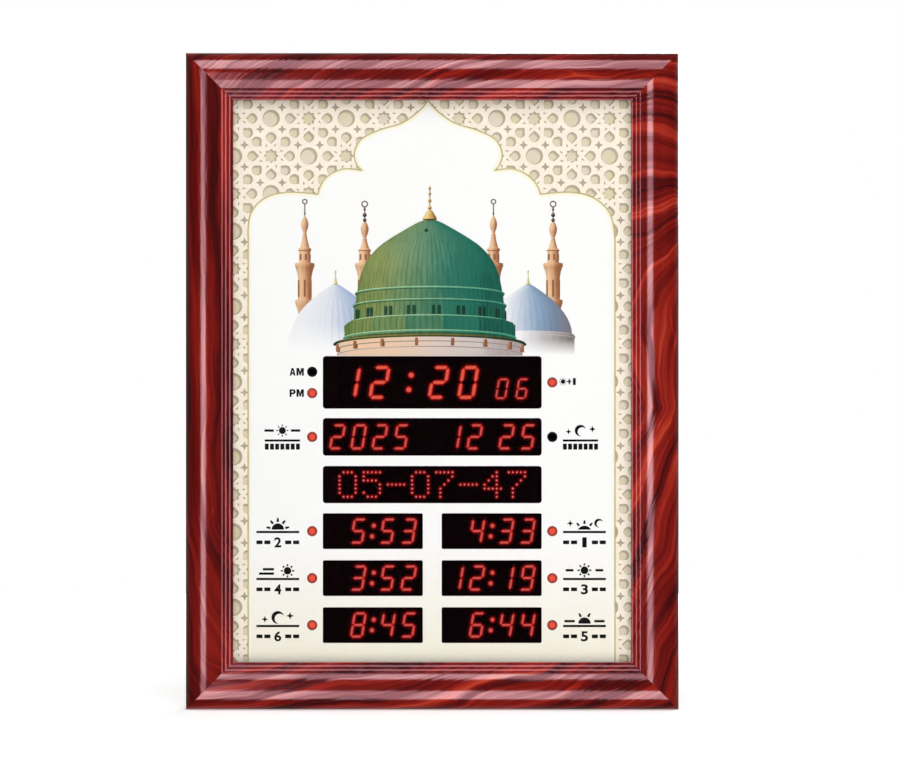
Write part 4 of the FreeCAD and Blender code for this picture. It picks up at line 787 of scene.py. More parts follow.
# %% Draw a smooth line through points
def smooth_line(points, steps):
    """Points on a smooth line through the given ones, this many for each stretch."""
    ends = [points[0]] + list(points) + [points[-1]]
    line = [points[0]]
    for p, a, b, q in zip(ends, ends[1:], ends[2:], ends[3:]):
        for i in range(1, steps + 1):
            t = i / steps
            spot = []
            for k in range(2):
                bend = 2 * p[k] - 5 * a[k] + 4 * b[k] - q[k]
                twist = 3 * a[k] - p[k] - 3 * b[k] + q[k]
                spot.append(0.5 * (2 * a[k] + (b[k] - p[k]) * t + bend * t * t + twist * t**3))
            line.append(tuple(spot))
    return line


ARCH_LOBES = (
    ((0, 216.4), (6.9, 208.4), (20.2, 199.1), (37.5, 193.7), (50.9, 187.1), (56.2, 179.0), (56.9, 172.4),
     (54.3, 165.7), (50.9, 162.4)),
    ((50.9, 162.4), (62.9, 163.8), (72.0, 161.4), (79.6, 156.2), (84.0, 149.7), (85.8, 144.0)),
    ((85.8, 144.0), (94.3, 145.0), (107.6, 145.7), (120.8, 143.7), (131.0, 138.4), (138.2, 129.7),
     (140.9, 119.0), (141.4, 106.0)),
)
ARCH_SIDE, ARCH_FOOT = 141.4, -216.9
SET_LEFT, SET_LEFT_TOP = 0.5, 2.6
LEAN_FROM, LEAN_OVER = 110.0, 50.0
right_side = [ARCH_LOBES[0][0]]
for lobe in ARCH_LOBES:
    right_side += smooth_line(lobe, 5)[1:]
right_side.append((ARCH_SIDE, ARCH_FOOT))


def set_over(x, z):
    """The print hangs a little to the left, most at its top."""
    rise = min(1.0, max(0.0, (z - LEAN_FROM) / LEAN_OVER))
    return x - SET_LEFT - SET_LEFT_TOP * rise, z


arch = [set_over(x, z) for x, z in right_side + [(-x, z) for x, z in reversed(right_side[1:])]]
print("arch points", len(arch))

# %% [markdown]
# ## Flat shapes from curves
# A flat curve fills itself, cuts out any closed line that lies inside another, and gets a thickness.
# It suits printed shapes with holes. Turned upright and made a mesh, it lies on the sheet.

# %% Cut a flat layer from closed lines
def layer(loops, back):
    """A flat piece with these outlines in millimetres, its rear face at y = back."""
    curve = bpy.data.curves.new("layer", "CURVE")
    curve.dimensions = "2D"
    curve.fill_mode = "BOTH"
    curve.extrude = LAYER / 2
    for loop in loops:
        line = curve.splines.new("POLY")
        line.points.add(len(loop) - 1)
        line.use_cyclic_u = True
        for point, (x, z) in zip(line.points, loop):
            point.co = (x * MM, z * MM, 0.0, 1.0)
    piece = bpy.data.objects.new("layer", curve)
    bpy.context.collection.objects.link(piece)
    take(piece)
    bpy.ops.object.convert(target="MESH")
    piece = bpy.context.object
    piece.rotation_euler = (math.pi / 2, 0, 0)
    piece.location = (0, back - LAYER / 2, 0)
    fix_place()
    edit()
    mend()
    leave()
    return piece


# %% Outlines that are used again: a box with round corners, and a circle
def round_box(x0, x1, z0, z1, radius, steps=5):
    """The outline of a box with round corners."""
    loop = []
    for cx, cz, first in (
        (x1 - radius, z1 - radius, 0),
        (x0 + radius, z1 - radius, 90),
        (x0 + radius, z0 + radius, 180),
        (x1 - radius, z0 + radius, 270),
    ):
        for i in range(steps + 1):
            a = math.radians(first + 90 * i / steps)
            loop.append((cx + radius * math.cos(a), cz + radius * math.sin(a)))
    return loop


def ring(x, z, radius):
    """Points round a circle."""
    turns = [2 * math.pi / 24 * i for i in range(24)]
    return [(x + radius * math.cos(a), z + radius * math.sin(a)) for a in turns]


print("corners of a round box", len(round_box(0, 1, 0, 1, 0.2)), "and of a ring", len(ring(0, 0, 1)))

# %% [markdown]
# ## The white field
# The field has the same windows as the sheet it is printed on, so the displays stay free. It is
# white at the top and turns a little creamy towards the bottom.

# %% Where the windows and the lamp holes are
WINDOW_HALF = 84.4
TIME_Z, DATE_Z, MATRIX_Z = -0.95, -43.0, -79.8
ROWS_Z = (-115.7, -151.95, -188.2)
GAP_HALF, ROW_HALF = 7.25, 13.8
LAMP_X, LAMP_HOLE = 92.6, 4.0
AM_Z, PM_Z = 7.2, -9.2
FIELD_WHITE = "fbfbfa"
windows = []
for z, tall in ((TIME_Z, 40.5), (DATE_Z, 29.0), (MATRIX_Z, 28.7)):
    windows.append(round_box(-WINDOW_HALF, WINDOW_HALF, z - tall / 2, z + tall / 2, 2.4))
for z in ROWS_Z:
    windows.append(round_box(-WINDOW_HALF, -GAP_HALF, z - ROW_HALF, z + ROW_HALF, 1.2))
    windows.append(round_box(GAP_HALF, WINDOW_HALF, z - ROW_HALF, z + ROW_HALF, 1.2))
lamp_spots = [(-LAMP_X, AM_Z), (-LAMP_X, PM_Z), (LAMP_X, TIME_Z), (-LAMP_X, DATE_Z), (LAMP_X, DATE_Z)]
lamp_spots += [(side * LAMP_X, z) for z in ROWS_Z for side in (-1, 1)]
lamp_rings = [ring(x, z, LAMP_HOLE) for x, z in lamp_spots]
print("windows", len(windows), "lamp holes", len(lamp_rings))

# %% Print the field inside the arch
field_ink = Finish("print_white_field", gloss=INK_GLOSS)
place = field_ink.place()
height = field_ink.add("SeparateXYZ", {0: place}).outputs["Z"]
cloud = field_ink.spots(place, 25.0, detail=3.0)
soft = field_ink.math("MULTIPLY_ADD", cloud, 0.08, field_ink.spread(height, -0.22, -0.12))
field_ink.feed(field_ink.ramp(soft, (0.0, "f7f1dd"), (1.0, FIELD_WHITE)), "Base Color")
FIELD_BACK = FACE - 3 * LAYER
settle(layer([arch] + windows + lamp_rings, FIELD_BACK), "print_arch_field", field_ink.material)

# %% [markdown]
# A thin gold line edges the field. A curve with a round bevel follows any line without a break, and
# pressed nearly flat it is a line of thick ink. It is left open at the foot, where the frame hides it.

# %% Draw the gold line on its edge
bpy.ops.curve.primitive_bezier_curve_add()
wire = bpy.context.object
wire.data.splines.clear()
wire.data.dimensions = "3D"
line = wire.data.splines.new("POLY")
rim = right_side[:-1] + [(ARCH_SIDE, ARCH_FOOT + 0.4)]
rim = [set_over(x, z) for x, z in [(-x, z) for x, z in reversed(rim)] + rim[1:]]
line.points.add(len(rim) - 1)
for point, (x, z) in zip(line.points, rim):
    point.co = (x * MM, 0.0, z * MM, 1.0)
wire.data.bevel_depth = 0.55 * MM
wire.data.bevel_resolution = 2
wire.data.use_fill_caps = True
take(wire)
bpy.ops.object.convert(target="MESH")
wire = bpy.context.object
edit()
bpy.ops.mesh.select_all(action="SELECT")
bpy.ops.transform.resize(value=(1, 0.07, 1), center_override=(0, 0, 0))
bpy.ops.transform.translate(value=(0, FIELD_BACK - LAYER, 0))
leave()
settle(wire, "print_gold_line", gold_ink)

# %% [markdown]
# ## The lattice
# The carved screen round the arch is a pattern of two stars that take turns on a square grid: a round
# hole, and an eight-point star with eight petals. Every opening is a dark shape with a lighter one
# laid over it, moved down to the left, so that a shadow seems to fall on its floor.

# %% Model one flat shape
def disc(points):
    """One flat closed shape at the origin: a disc with its corners moved to the given points."""
    corners = len(points)
    bpy.ops.mesh.primitive_cylinder_add(vertices=corners, radius=5 * MM, depth=LAYER)
    piece = bpy.context.object
    piece.rotation_euler = (math.pi / 2, 0, 0)
    fix_place()
    spots = {}
    for v in piece.data.vertices:
        turn = round((math.atan2(v.co.z, v.co.x) % (2 * math.pi)) / (2 * math.pi) * corners)
        spots.setdefault(turn % corners, []).append(v)
    for i, key in enumerate(sorted(spots)):
        for v in spots[key]:
            v.co.x, v.co.z = points[i][0] * MM, points[i][1] * MM
    piece.data.transform(Matrix.Translation((0, FACE - LAYER / 2, 0)))
    return piece


# %% Outlines of the openings
def star(tips, outer, inner):
    """Points of a star; with two equal radii it is round."""
    points = []
    for i in range(2 * tips):
        a = math.pi * i / tips
        r = outer if i % 2 == 0 else inner
        points.append((r * math.cos(a), r * math.sin(a)))
    return points


def petal(size):
    """A rounded shield whose tip points to -x."""
    tip, wide, blunt = -4.7 * size, 3.9 * size, 3.6 * size
    corners = [(blunt, 0), (blunt * 0.93, 1.3 * size), (2.0 * size, 3.1 * size), (-0.2 * size, wide)]
    corners += [(-1.6 * size, 3.3 * size), (-3.4 * size, 1.4 * size)]
    lower = [(x, -z) for x, z in reversed(corners[1:])]
    return corners + [(tip, 0)] + lower


shapes = {
    "hole": star(10, 6.65, 6.65),
    "star": star(8, 5.7, 4.3),
    "cross": star(4, 3.5, 1.5),
    "chip": star(3, 1.75, 0.95),
    "petal": petal(1.08),
}
print({name: len(points) for name, points in shapes.items()})

# %% Is a point inside a closed line?
def inside(x, z, outline):
    """True if the point lies within the closed line."""
    crossings = 0
    for (ax, az), (bx, bz) in zip(outline, outline[1:] + outline[:1]):
        if (az > z) != (bz > z) and x < ax + (z - az) * (bx - ax) / (bz - az):
            crossings += 1
    return crossings % 2 == 1


print("the middle of the arch is inside:", inside(0, 0, arch))


# %% Lay the openings over the grid
def beside(kind, x, z, away, degrees, turned=True):
    """An opening at this distance and angle from a point; it may point outwards."""
    a = math.radians(degrees)
    return kind, x + away * math.cos(a), z + away * math.sin(a), a if turned else 0


PITCH = 29.0
FIRST = (-124.2, 202.7)
CROSS_AWAY, CHIP_AWAY, PETAL_AWAY = 11.9, 8.8, (14.5, 15.7)
openings = []
for column in range(-2, 12):
    for row in range(-1, 16):
        cx, cz = FIRST[0] + column * PITCH, FIRST[1] - row * PITCH
        if (column + row) % 2 == 0:
            openings.append(("hole", cx, cz, 0))
            openings += [beside("cross", cx, cz, CROSS_AWAY, 45 + 90 * k, turned=False) for k in range(4)]
        else:
            openings.append(("star", cx, cz, 0))
            openings += [beside("chip", cx, cz, CHIP_AWAY, 22.5 + 45 * k) for k in range(8)]
            openings += [beside("petal", cx, cz, PETAL_AWAY[k % 2], 45 * k) for k in range(8)]
print("openings on the whole grid", len(openings))

# %% Keep those that show beside the arch
EDGE_X, EDGE_Z = 154.6, 217.6
kept = []
for kind, x, z, turn in openings:
    reach = 7.0 if kind == "hole" else 5.0
    if abs(x) > EDGE_X + reach or abs(z) > EDGE_Z + reach:
        continue
    corners = [(x + reach * math.cos(a), z + reach * math.sin(a)) for a in (0.8, 2.4, 3.9, 5.5)]
    if all(inside(cx, cz, arch) for cx, cz in corners + [(x, z)]):
        continue
    kept.append((kind, x, z, turn))
print("openings kept", len(kept))

# %% Stand a shade and two lighter shapes in each opening
patterns = {name: disc(points) for name, points in shapes.items()}
# how much of an opening its lit floor fills, and how far that slips down to the left as it shrinks
LIGHT_SHARE = {"hole": 0.79, "star": 0.75, "petal": 0.70}
SLIP = {"hole": 4.488, "star": 2.992, "petal": 2.992}
shade_parts, soft_parts, floor_parts = [], [], []
for kind, x, z, turn in kept:
    spin = Matrix.Rotation(-turn, 4, "Y")
    shade_parts.append(twin(patterns[kind], Matrix.Translation((x * MM, 0, z * MM)) @ spin))
    if kind in LIGHT_SHARE:
        for parts, level, part in ((soft_parts, 1, 0.70), (floor_parts, 2, 1.0)):
            share = 1 - (1 - LIGHT_SHARE[kind]) * part
            slip = (1 - share) * SLIP[kind]
            move = Matrix.Translation(((x - slip) * MM, -level * LAYER, (z - slip) * MM))
            parts.append(twin(patterns[kind], move @ spin @ Matrix.Diagonal((share, 1, share, 1))))
for pattern in patterns.values():
    bpy.data.objects.remove(pattern)
print("shapes", len(shade_parts), len(soft_parts), len(floor_parts))


# %% Saw the lattice off at the frame
def trim(piece):
    """Saw off what would lie under the moulding, and hand the piece on."""
    edit()
    for normal in ((1, 0, 0), (-1, 0, 0), (0, 0, 1), (0, 0, -1)):
        reach = EDGE_X if normal[0] else EDGE_Z
        bpy.ops.mesh.select_all(action="SELECT")
        edge = Vector(normal) * reach * MM
        bpy.ops.mesh.bisect(plane_co=edge, plane_no=normal, use_fill=True, clear_outer=True)
    leave()
    return piece


settle(trim(join(shade_parts)), "print_lattice_openings", shade_ink)
settle(trim(join(soft_parts)), "print_lattice_soft_shade", soft_ink)
settle(trim(join(floor_parts)), "print_lattice_floors", floor_ink)

# %% [markdown]
# ## The picture: a mosque at dawn
# The print shows a domed mosque with four minarets, drawn here from plain forms. It is modelled in
# the round, as a small building, by turning outlines on a lathe. The light of a low sun is then
# written on it as a colour, corner by corner, and at last it is pressed as flat as the print. So the
# picture has true perspective and shade, and lies on the sheet like ink.

# %% Turn an outline on the lathe
def lathe(profile, steps):
    """A round piece from (radius, height) pairs in millimetres, its axis upright at the origin."""
    bpy.ops.mesh.primitive_plane_add(size=MM)
    edit()
    bpy.ops.mesh.select_mode(type="VERT")
    bpy.ops.mesh.select_all(action="SELECT")
    bpy.ops.mesh.merge(type="CENTER")
    spots = [Vector((r * MM, 0, z * MM)) for r, z in profile]
    bpy.ops.transform.translate(value=spots[0])
    for before, after in zip(spots, spots[1:]):
        bpy.ops.mesh.extrude_vertices_move(TRANSFORM_OT_translate={"value": after - before})
    bpy.ops.mesh.select_all(action="SELECT")
    bpy.ops.mesh.spin(steps=steps, angle=2 * math.pi, center=(0, 0, 0), axis=(0, 0, 1))
    mend(0.02 * MM)
    leave()
    return bpy.context.object


print("lathe ready")

# %% Write sunlight on a form and press it flat
SUN = Vector((-0.62, -0.60, 0.50)).normalized()
SUN_SHARE = 0.75
TILT = math.radians(5.5)
PICTURE_BACK = FIELD_BACK - LAYER
PICTURE_DEPTH = 0.30 * MM
FLATNESS = 0.0036
CUT_Z = 19.6


def paint_and_press(piece, x, depth=0.0, angle=35):
    """Store light, turn and side as a colour, flatten the piece, and put it on the sheet."""
    take(piece)
    bpy.ops.object.shade_smooth_by_angle(angle=math.radians(angle))
    mesh = piece.data
    paint = mesh.color_attributes.new(name="paint", type="FLOAT_COLOR", domain="CORNER")
    lean = Matrix.Rotation(-TILT, 3, "X")
    for face in mesh.polygons:
        for i in face.loop_indices:
            normal = lean @ mesh.corner_normals[i].vector
            spot = mesh.vertices[mesh.loops[i].vertex_index].co
            if spot.xy.length < 0.3 * MM:
                spot = face.center  # a corner on the axis has no turn of its own
            turn = 0.5 + math.atan2(spot.x, -spot.y) / (2 * math.pi)
            light = SUN_SHARE * max(0.0, normal.dot(SUN)) + (1 - SUN_SHARE) * (0.5 + 0.5 * normal.z)
            paint.data[i].color = (light, turn, 0.5 + 0.5 * normal.x, 1.0)
    mesh.transform(Matrix.Rotation(-TILT, 4, "X"))
    press = Matrix.Diagonal((1, FLATNESS, 1, 1))
    rear = PICTURE_BACK - PICTURE_DEPTH + depth * FLATNESS * MM
    mesh.transform(Matrix.Translation((x * MM, rear, 0)) @ press)
    edit()
    bpy.ops.mesh.select_all(action="SELECT")
    bpy.ops.mesh.bisect(
        plane_co=(0, 0, CUT_Z * MM), plane_no=(0, 0, -1), use_fill=True, clear_outer=True
    )
    leave()
    bpy.ops.object.shade_flat()
    return piece


# %% Make a form a piece of the picture, and stand copies round an axis
def draw(form, name, finish, x, depth=0.0):
    """Make a form a piece of the picture."""
    settle(paint_and_press(form, x, depth), name, finish)


def stand_round(shape, angles, radius, height):
    """Copies of a shape, stood at these angles round the axis and facing outwards."""
    copies = []
    for angle in angles:
        turn = Matrix.Rotation(math.radians(angle), 4, "Z")
        copies.append(twin(shape, turn @ Matrix.Translation((0, -radius * MM, height * MM))))
    bpy.data.objects.remove(shape)
    return copies


print("picture lies from y", round(PICTURE_BACK, 5))

# %% [markdown]
# ## Inks for the picture
# Each ink turns the stored light into a colour: deep in the shade, bright in the sun. Fine lines that
# follow the stored turn are the seams of the lead sheets on a dome, and a second set of colours can
# take over on the side of the sun.

# %% Write the picture's inks
def picture_ink(name, stops, by="Red", seams=0, push=0.0, fade=None, warm=None, rough=0.35):
    """An ink that reads the painted light; fade is a pair of heights where it melts into white."""
    paint = Finish(name, gloss=INK_GLOSS)
    stored = paint.add("Attribute", attribute_name="paint").outputs["Color"]
    parts = paint.add("SeparateColor", {0: stored}).outputs
    place = paint.place()
    grain = paint.sway(place, (420, 420, 90), 3.0)
    value = paint.math("MULTIPLY_ADD", grain, rough, parts[by])
    if seams:
        wave = paint.math("SINE", paint.math("MULTIPLY", parts["Green"], 2 * math.pi * seams))
        wave = paint.math("POWER", paint.math("ABSOLUTE", wave), 9.0)
        value = paint.math("MULTIPLY_ADD", wave, push, value)
    tone = paint.ramp(value, *stops)
    if warm:
        tone = paint.mix(paint.spread(parts["Blue"], 0.62, 0.15), tone, paint.ramp(value, *warm))
    if fade:
        height = paint.add("SeparateXYZ", {0: place}).outputs["Z"]
        share = paint.spread(height, fade[0] * MM, fade[1] * MM)
        tone = paint.mix(share, rgb(FIELD_WHITE), tone)
    paint.feed(tone, "Base Color")
    return paint.material


# %% Mix the inks
green_cool = ((0.0, "0f4a3f"), (0.25, "1b6857"), (0.55, "2c705c"), (0.9, "5c9480"))
green_warm = ((0.0, "243f14"), (0.35, "3b5b22"), (0.65, "5c763a"), (0.95, "8f9a5c"))
green_ink = picture_ink("picture_green", green_cool, seams=42, push=-0.14, warm=green_warm)
line_ink = picture_ink("picture_green_line", ((0.0, "2f8a6d"), (0.6, "79b48f"), (1.0, "c3d9a4")))
pane_ink = picture_ink("picture_window", ((0.0, "042a20"), (0.6, "12402f"), (1.0, "31553a")))
white_side = {"by": "Blue", "rough": 0.1}
left_tones = ((0.10, "efeff2"), (0.45, "dee3eb"), (0.62, "bcc8db"), (0.85, "92a8d0"))
left_ink = picture_ink("picture_dome_left", left_tones, seams=20, push=0.09, fade=(22, 44), **white_side)
right_tones = ((0.22, "eff0f3"), (0.42, "c4cedb"), (0.60, "8da7c2"), (0.80, "74869f"), (0.98, "7c747c"))
right_ink = picture_ink("picture_dome_right", right_tones, seams=20, push=0.04, **white_side)
drum_tones = ((0.40, "f2f0f2"), (0.65, "c2bcbd"), (0.95, "7d736d"))
drum_ink = picture_ink("picture_drum_right", drum_tones, fade=(20, 32), **white_side)
stone_tones = ((0.0, "84502f"), (0.30, "ae7550"), (0.55, "cf9e77"), (0.85, "edc89e"))
stone_ink = picture_ink("picture_sandstone", stone_tones)
slot_ink = picture_ink("picture_stone_slot", ((0.0, "6d3f28"), (1.0, "a8704a")))
wall_tones = ((0.0, "93837e"), (0.3, "c9bfbc"), (0.6, "dac7bc"), (0.9, "efc69c"))
wall_ink = picture_ink("picture_wall", wall_tones, rough=0.2)
eaves_ink = picture_ink("picture_eaves", ((0.0, "17301f"), (0.5, "3d4a22"), (0.9, "7d7a3c")))
gilt_ink = picture_ink("picture_gilt", ((0.0, "4d3212"), (0.4, "a5762e"), (0.9, "f2d08a")))
pale_gilt = picture_ink("picture_pale_gilt", ((0.0, "8f8a50"), (0.5, "c4bd78"), (0.9, "efe6a8")))
rod_ink = picture_ink("picture_rod", ((0.0, "20100f"), (0.4, "45302e"), (0.9, "917873")))
print("picture inks ready")

# %% [markdown]
# ## The green dome
# The dome is a pointed bulb over a drum of bands, turned in one piece. Below it stand a base of flat
# sides, the eaves that jut out, and the wall. Small forms, such as the windows, are modelled once and
# stood round the drum.

# %% Model the green dome, its base and its eaves
MIDDLE = -1.9
BASE_SIDES, BASE_TURN = 14, 9.0
bulb = [(0.0, 126.0), (8.7, 123.0), (21.5, 115.8), (31.2, 109.8), (39.8, 103.4), (48.0, 94.0)]
bulb = smooth_line(bulb + [(53.2, 82.5), (56.0, 68.8)], 4)
bands = [(57.4, 68.0), (57.4, 66.8), (56.6, 66.4), (57.2, 59.6), (59.0, 59.0), (59.0, 57.4), (58.2, 57.0)]
bands += [(58.6, 46.6), (60.2, 46.0), (60.2, 44.6), (59.6, 44.2), (59.6, 43.0), (0.0, 42.9)]
dome = paint_and_press(lathe(bulb + bands, 96), MIDDLE)

bpy.ops.mesh.primitive_cylinder_add(
    vertices=BASE_SIDES, radius=66.2 * MM, depth=11.6 * MM, location=(0, 0, 37.4 * MM)
)
base = bpy.context.object
base.rotation_euler.z = math.radians(BASE_TURN)
fix_place()
edit()
choose(lambda middle, normal: normal.z > 0.9)
bpy.ops.mesh.inset(thickness=1.6 * MM)
bpy.ops.mesh.extrude_region_move(TRANSFORM_OT_translate={"value": (0, 0, 1.6 * MM)})
leave()
base = paint_and_press(base, MIDDLE, angle=10)
settle(join([dome, base]), "picture_green_dome", green_ink)

lines = [
    lathe([(0.0, z + 0.7), (r, z + 0.6), (r + 0.5, z), (r, z - 0.6), (0.0, z - 0.7)], 96)
    for r, z in ((57.5, 67.6), (58.9, 58.2), (60.2, 45.4), (66.4, 33.2))
]
draw(join(lines), "picture_green_lines", line_ink, MIDDLE)

eaves = [(0.0, 31.0), (68.0, 30.6), (73.6, 29.4), (74.6, 28.4), (73.8, 27.6), (0.0, 27.4)]
draw(lathe(eaves, 96), "picture_eaves", eaves_ink, MIDDLE)
wall = [(0.0, 28.0), (72.4, 27.9), (72.6, 24.6), (71.4, 24.0), (71.6, 20.4), (70.8, 19.8)]
draw(lathe(wall + [(70.8, 8.0), (0.0, 8.0)], 96), "picture_wall_below", wall_ink, MIDDLE)

# %% Model an arched panel and stand copies of it round the drum
def arched(wide, tall, thick=1.6):
    """A small arched panel at the origin that faces -y; its top is a run of narrowing steps."""
    bpy.ops.mesh.primitive_cube_add(size=1)
    piece = bpy.context.object
    piece.scale = (wide * MM, thick * MM, tall * MM)
    fix_place()
    edit()
    choose(lambda middle, normal: normal.z > 0.9)
    for lift, share in ((0.20, 0.86), (0.16, 0.70), (0.10, 0.35)):
        bpy.ops.mesh.extrude_region_move(TRANSFORM_OT_translate={"value": (0, 0, lift * wide * MM)})
        bpy.ops.transform.resize(value=(share, 1, 1), center_override=(0, 0, 0))
    leave()
    return piece


spots = [19 * k + 5 + shift for k in range(-4, 5) for shift in (-2.1, 2.1)]
panes = stand_round(arched(2.7, 6.0), spots, 58.6, 49.4)
panes += stand_round(arched(2.7, 6.0), [-6], 25.0, 111.5)
draw(join(panes), "picture_drum_windows", pane_ink, MIDDLE)

spots = [360 / BASE_SIDES * k + BASE_TURN for k in range(-3, 4)]
niches = stand_round(arched(5.0, 6.0), spots, 64.2, 35.6)
draw(join(niches), "picture_base_niches", green_ink, MIDDLE)

brackets = stand_round(arched(2.2, 5.0, 3.0), (-76, -52, -30, -8, 14, 36, 58, 78), 72.6, 23.4)
draw(join(brackets), "picture_wall_brackets", slot_ink, MIDDLE)

# %% [markdown]
# A gilt finial of beads on a rod tops the dome. Every bead has the same outline at another size, so
# a small function writes its points, and the whole finial is turned at once.

# %% Turn the gilt finial
def bead(radius, height, rod=0.45):
    """Outline points of one bead on a rod, from the top down."""
    slope = radius * 0.7
    upper = [(rod, height + radius), (slope, height + slope)]
    return upper + [(radius, height), (slope, height - slope), (rod, height - radius)]


finial = [(0.0, 151.8)] + bead(1.1, 149.4) + bead(1.2, 145.2) + bead(1.4, 139.8) + bead(1.5, 134.3)
finial += [(1.9, 132.0), (3.5, 129.4), (5.2, 126.6), (5.6, 125.2), (0.0, 124.4)]
draw(lathe(finial, 24), "picture_gilt_finial", gilt_ink, MIDDLE, -30)
print("green dome ready")

# %% [markdown]
# ## The white domes and the minarets
# A white dome stands on each side, behind the green one, and melts into the white ground. Behind them
# rise four minarets of two kinds, one with a thin rod and one with three beads under its ring. The
# parts further back get less thickness in front of them, so the nearer ones cover them.

# %% Turn the white domes and their drums
cap = smooth_line([(0.0, 76.0), (7.0, 71.8), (19.7, 62.0), (29.0, 51.0), (33.2, 41.5), (33.9, 35.0)], 4)
cap += [(33.0, 34.4), (0.0, 34.3)]
spike = [(0.0, 86.4)] + bead(0.8, 84.8, 0.35) + [(0.5, 80.0), (1.1, 77.0), (1.6, 75.0), (0.0, 74.4)]
drum = [(0.0, 36.0), (35.4, 35.8), (36.4, 34.6), (36.4, 33.4), (35.8, 32.8), (35.8, 10.0), (0.0, 10.0)]
for side, x, dome_ink, base_ink in (
    ("left", -74.6, left_ink, left_ink),
    ("right", 73.9, right_ink, drum_ink),
):
    draw(lathe(cap, 64), "picture_white_dome_" + side, dome_ink, x, 38)
    draw(lathe(drum, 64), "picture_white_drum_" + side, base_ink, x, 38.5)
    draw(lathe(spike, 16), "picture_white_finial_" + side, pale_gilt, x, 30)

# %% Turn the minarets
BULB = [(0.8, 127.4), (2.0, 125.2), (2.9, 121.9), (2.5, 118.9), (1.2, 115.2), (1.2, 114.4), (1.7, 113.8)]
BULB += [(1.5, 113.0)]
BALCONIES = [(5.1, 101.2), (4.3, 100.4), (4.5, 91.6), (7.4, 91.2), (7.6, 89.2), (7.0, 87.9), (6.0, 84.8)]
BALCONIES += [(5.2, 80.5), (5.2, 63.2), (7.2, 62.8), (7.4, 60.6), (6.4, 57.7), (4.9, 53.1), (4.8, 38.0)]


def minaret(name, x, beads, shift):
    """One minaret: stone shaft with balconies, arched slots, and a ring on a rod at the top."""
    outline = [(0.0, 127.6 - shift)] + [(r * (1.08 if beads else 1), z - shift) for r, z in BULB]
    outline += [(2.3, 108.4 - shift / 2), (3.6, 103.4 - shift / 4), (5.0, 102.6 - shift / 4)]
    outline += BALCONIES + [(0.0, 38.0)]
    draw(lathe(outline, 24), "picture_minaret_" + name, stone_ink, x, 62)
    slots = stand_round(arched(1.7, 12.5, 1.0), (-62, 0, 62), 5.1, 71.2)
    slots += stand_round(arched(1.5, 4.0, 1.0), (-45, 10, 60), 4.4, 95.6)
    draw(join(slots), "picture_minaret_slots_" + name, slot_ink, x, 62)
    height = 139.1 - shift / 2
    ring_radius = (2.15 if beads else 1.7) * MM
    bpy.ops.mesh.primitive_torus_add(
        major_radius=ring_radius, minor_radius=0.48 * MM, major_segments=24, minor_segments=8
    )
    loop = bpy.context.object
    loop.rotation_euler = (math.pi / 2, 0, 0)
    loop.location = (0, 0, height * MM)
    fix_place()
    rod = [(0.0, height - 1.6)] + bead(0.6, height - 3.0)
    if beads:
        rod += bead(1.0, 133.1) + bead(1.7, 128.7) + bead(1.5, 124.8)
    else:
        rod += bead(0.8, 129.8, 0.5)
    rod.append((0.0, 127.0 - shift))
    draw(join([loop, lathe(rod, 16)]), "picture_minaret_top_" + name, rod_ink, x, 60)


for name, x, beads, shift in (
    ("one", -98.3, False, 0.0),
    ("two", -52.1, True, 3.8),
    ("three", 47.2, False, 0.0),
    ("four", 93.2, True, 3.8),
):
    minaret(name, x, beads, shift)

# %% [markdown]
# ## A pale glow along the arch
# Just inside its gold line the white field is tinted a soft yellow that fades away. An inset face
# gives the band, and a value stored on its outer and inner corners gives the fade.

# %% Lay the glow
GLOW_WIDE, GLOW_THICK = 3.2 * MM, 0.01 * MM
outer_count = len(arch)
bpy.ops.mesh.primitive_circle_add(vertices=outer_count, radius=MM, fill_type="NGON")
glow = bpy.context.object
for vertex, (x, z) in zip(glow.data.vertices, arch):
    vertex.co = (x * MM, 0.0, z * MM)
edit()
bpy.ops.mesh.select_all(action="SELECT")
bpy.ops.mesh.normals_make_consistent(inside=False)
bpy.ops.mesh.inset(thickness=GLOW_WIDE, use_even_offset=False)
bpy.ops.mesh.delete(type="FACE")
leave()
# under the arch's tip, no inner corner may cross to the other side
centre = arch[0][0] * MM
for edge in glow.data.edges:
    outer, inner = sorted(edge.vertices)
    if outer < outer_count <= inner:
        side = glow.data.vertices[outer].co.x - centre
        spot = glow.data.vertices[inner].co
        if (spot.x - centre) * side <= 0:
            spot.x = centre
fade = glow.data.color_attributes.new(name="fade", type="FLOAT_COLOR", domain="POINT")
for vertex, tint in zip(glow.data.vertices, fade.data):
    share = 0.0 if vertex.index < outer_count else 1.0
    tint.color = (share, share, share, 1.0)
edit()
bpy.ops.mesh.select_all(action="SELECT")
bpy.ops.mesh.extrude_region_move(TRANSFORM_OT_translate={"value": (0, GLOW_THICK, 0)})
bpy.ops.mesh.select_all(action="SELECT")
bpy.ops.mesh.normals_make_consistent(inside=False)
bpy.ops.transform.translate(value=(0, FIELD_BACK - LAYER - 0.015 * MM, 0))
leave()
glow_ink = Finish("print_arch_glow", gloss=INK_GLOSS)
stored = glow_ink.add("Attribute", attribute_name="fade").outputs["Fac"]
glow_ink.feed(glow_ink.ramp(stored, (0.0, "f3ecc0"), (0.4, "faf5dc"), (1.0, "fbfaf6")), "Base Color")
settle(glow, "print_arch_glow", glow_ink.material)

# %% [markdown]
# ## Signs beside the displays
# A small sign tells what each display shows. The six day times are told without words: a sun or moon
# stands over a horizon as it does at that hour, above a plain number from one to six. The sun stands
# for the solar date, the crescent for the lunar one, and the seven squares for the days of a week.

# %% Draw boxes, rays and suns
def box_line(x0, x1, z0, z1):
    return [(x0, z0), (x1, z0), (x1, z1), (x0, z1)]


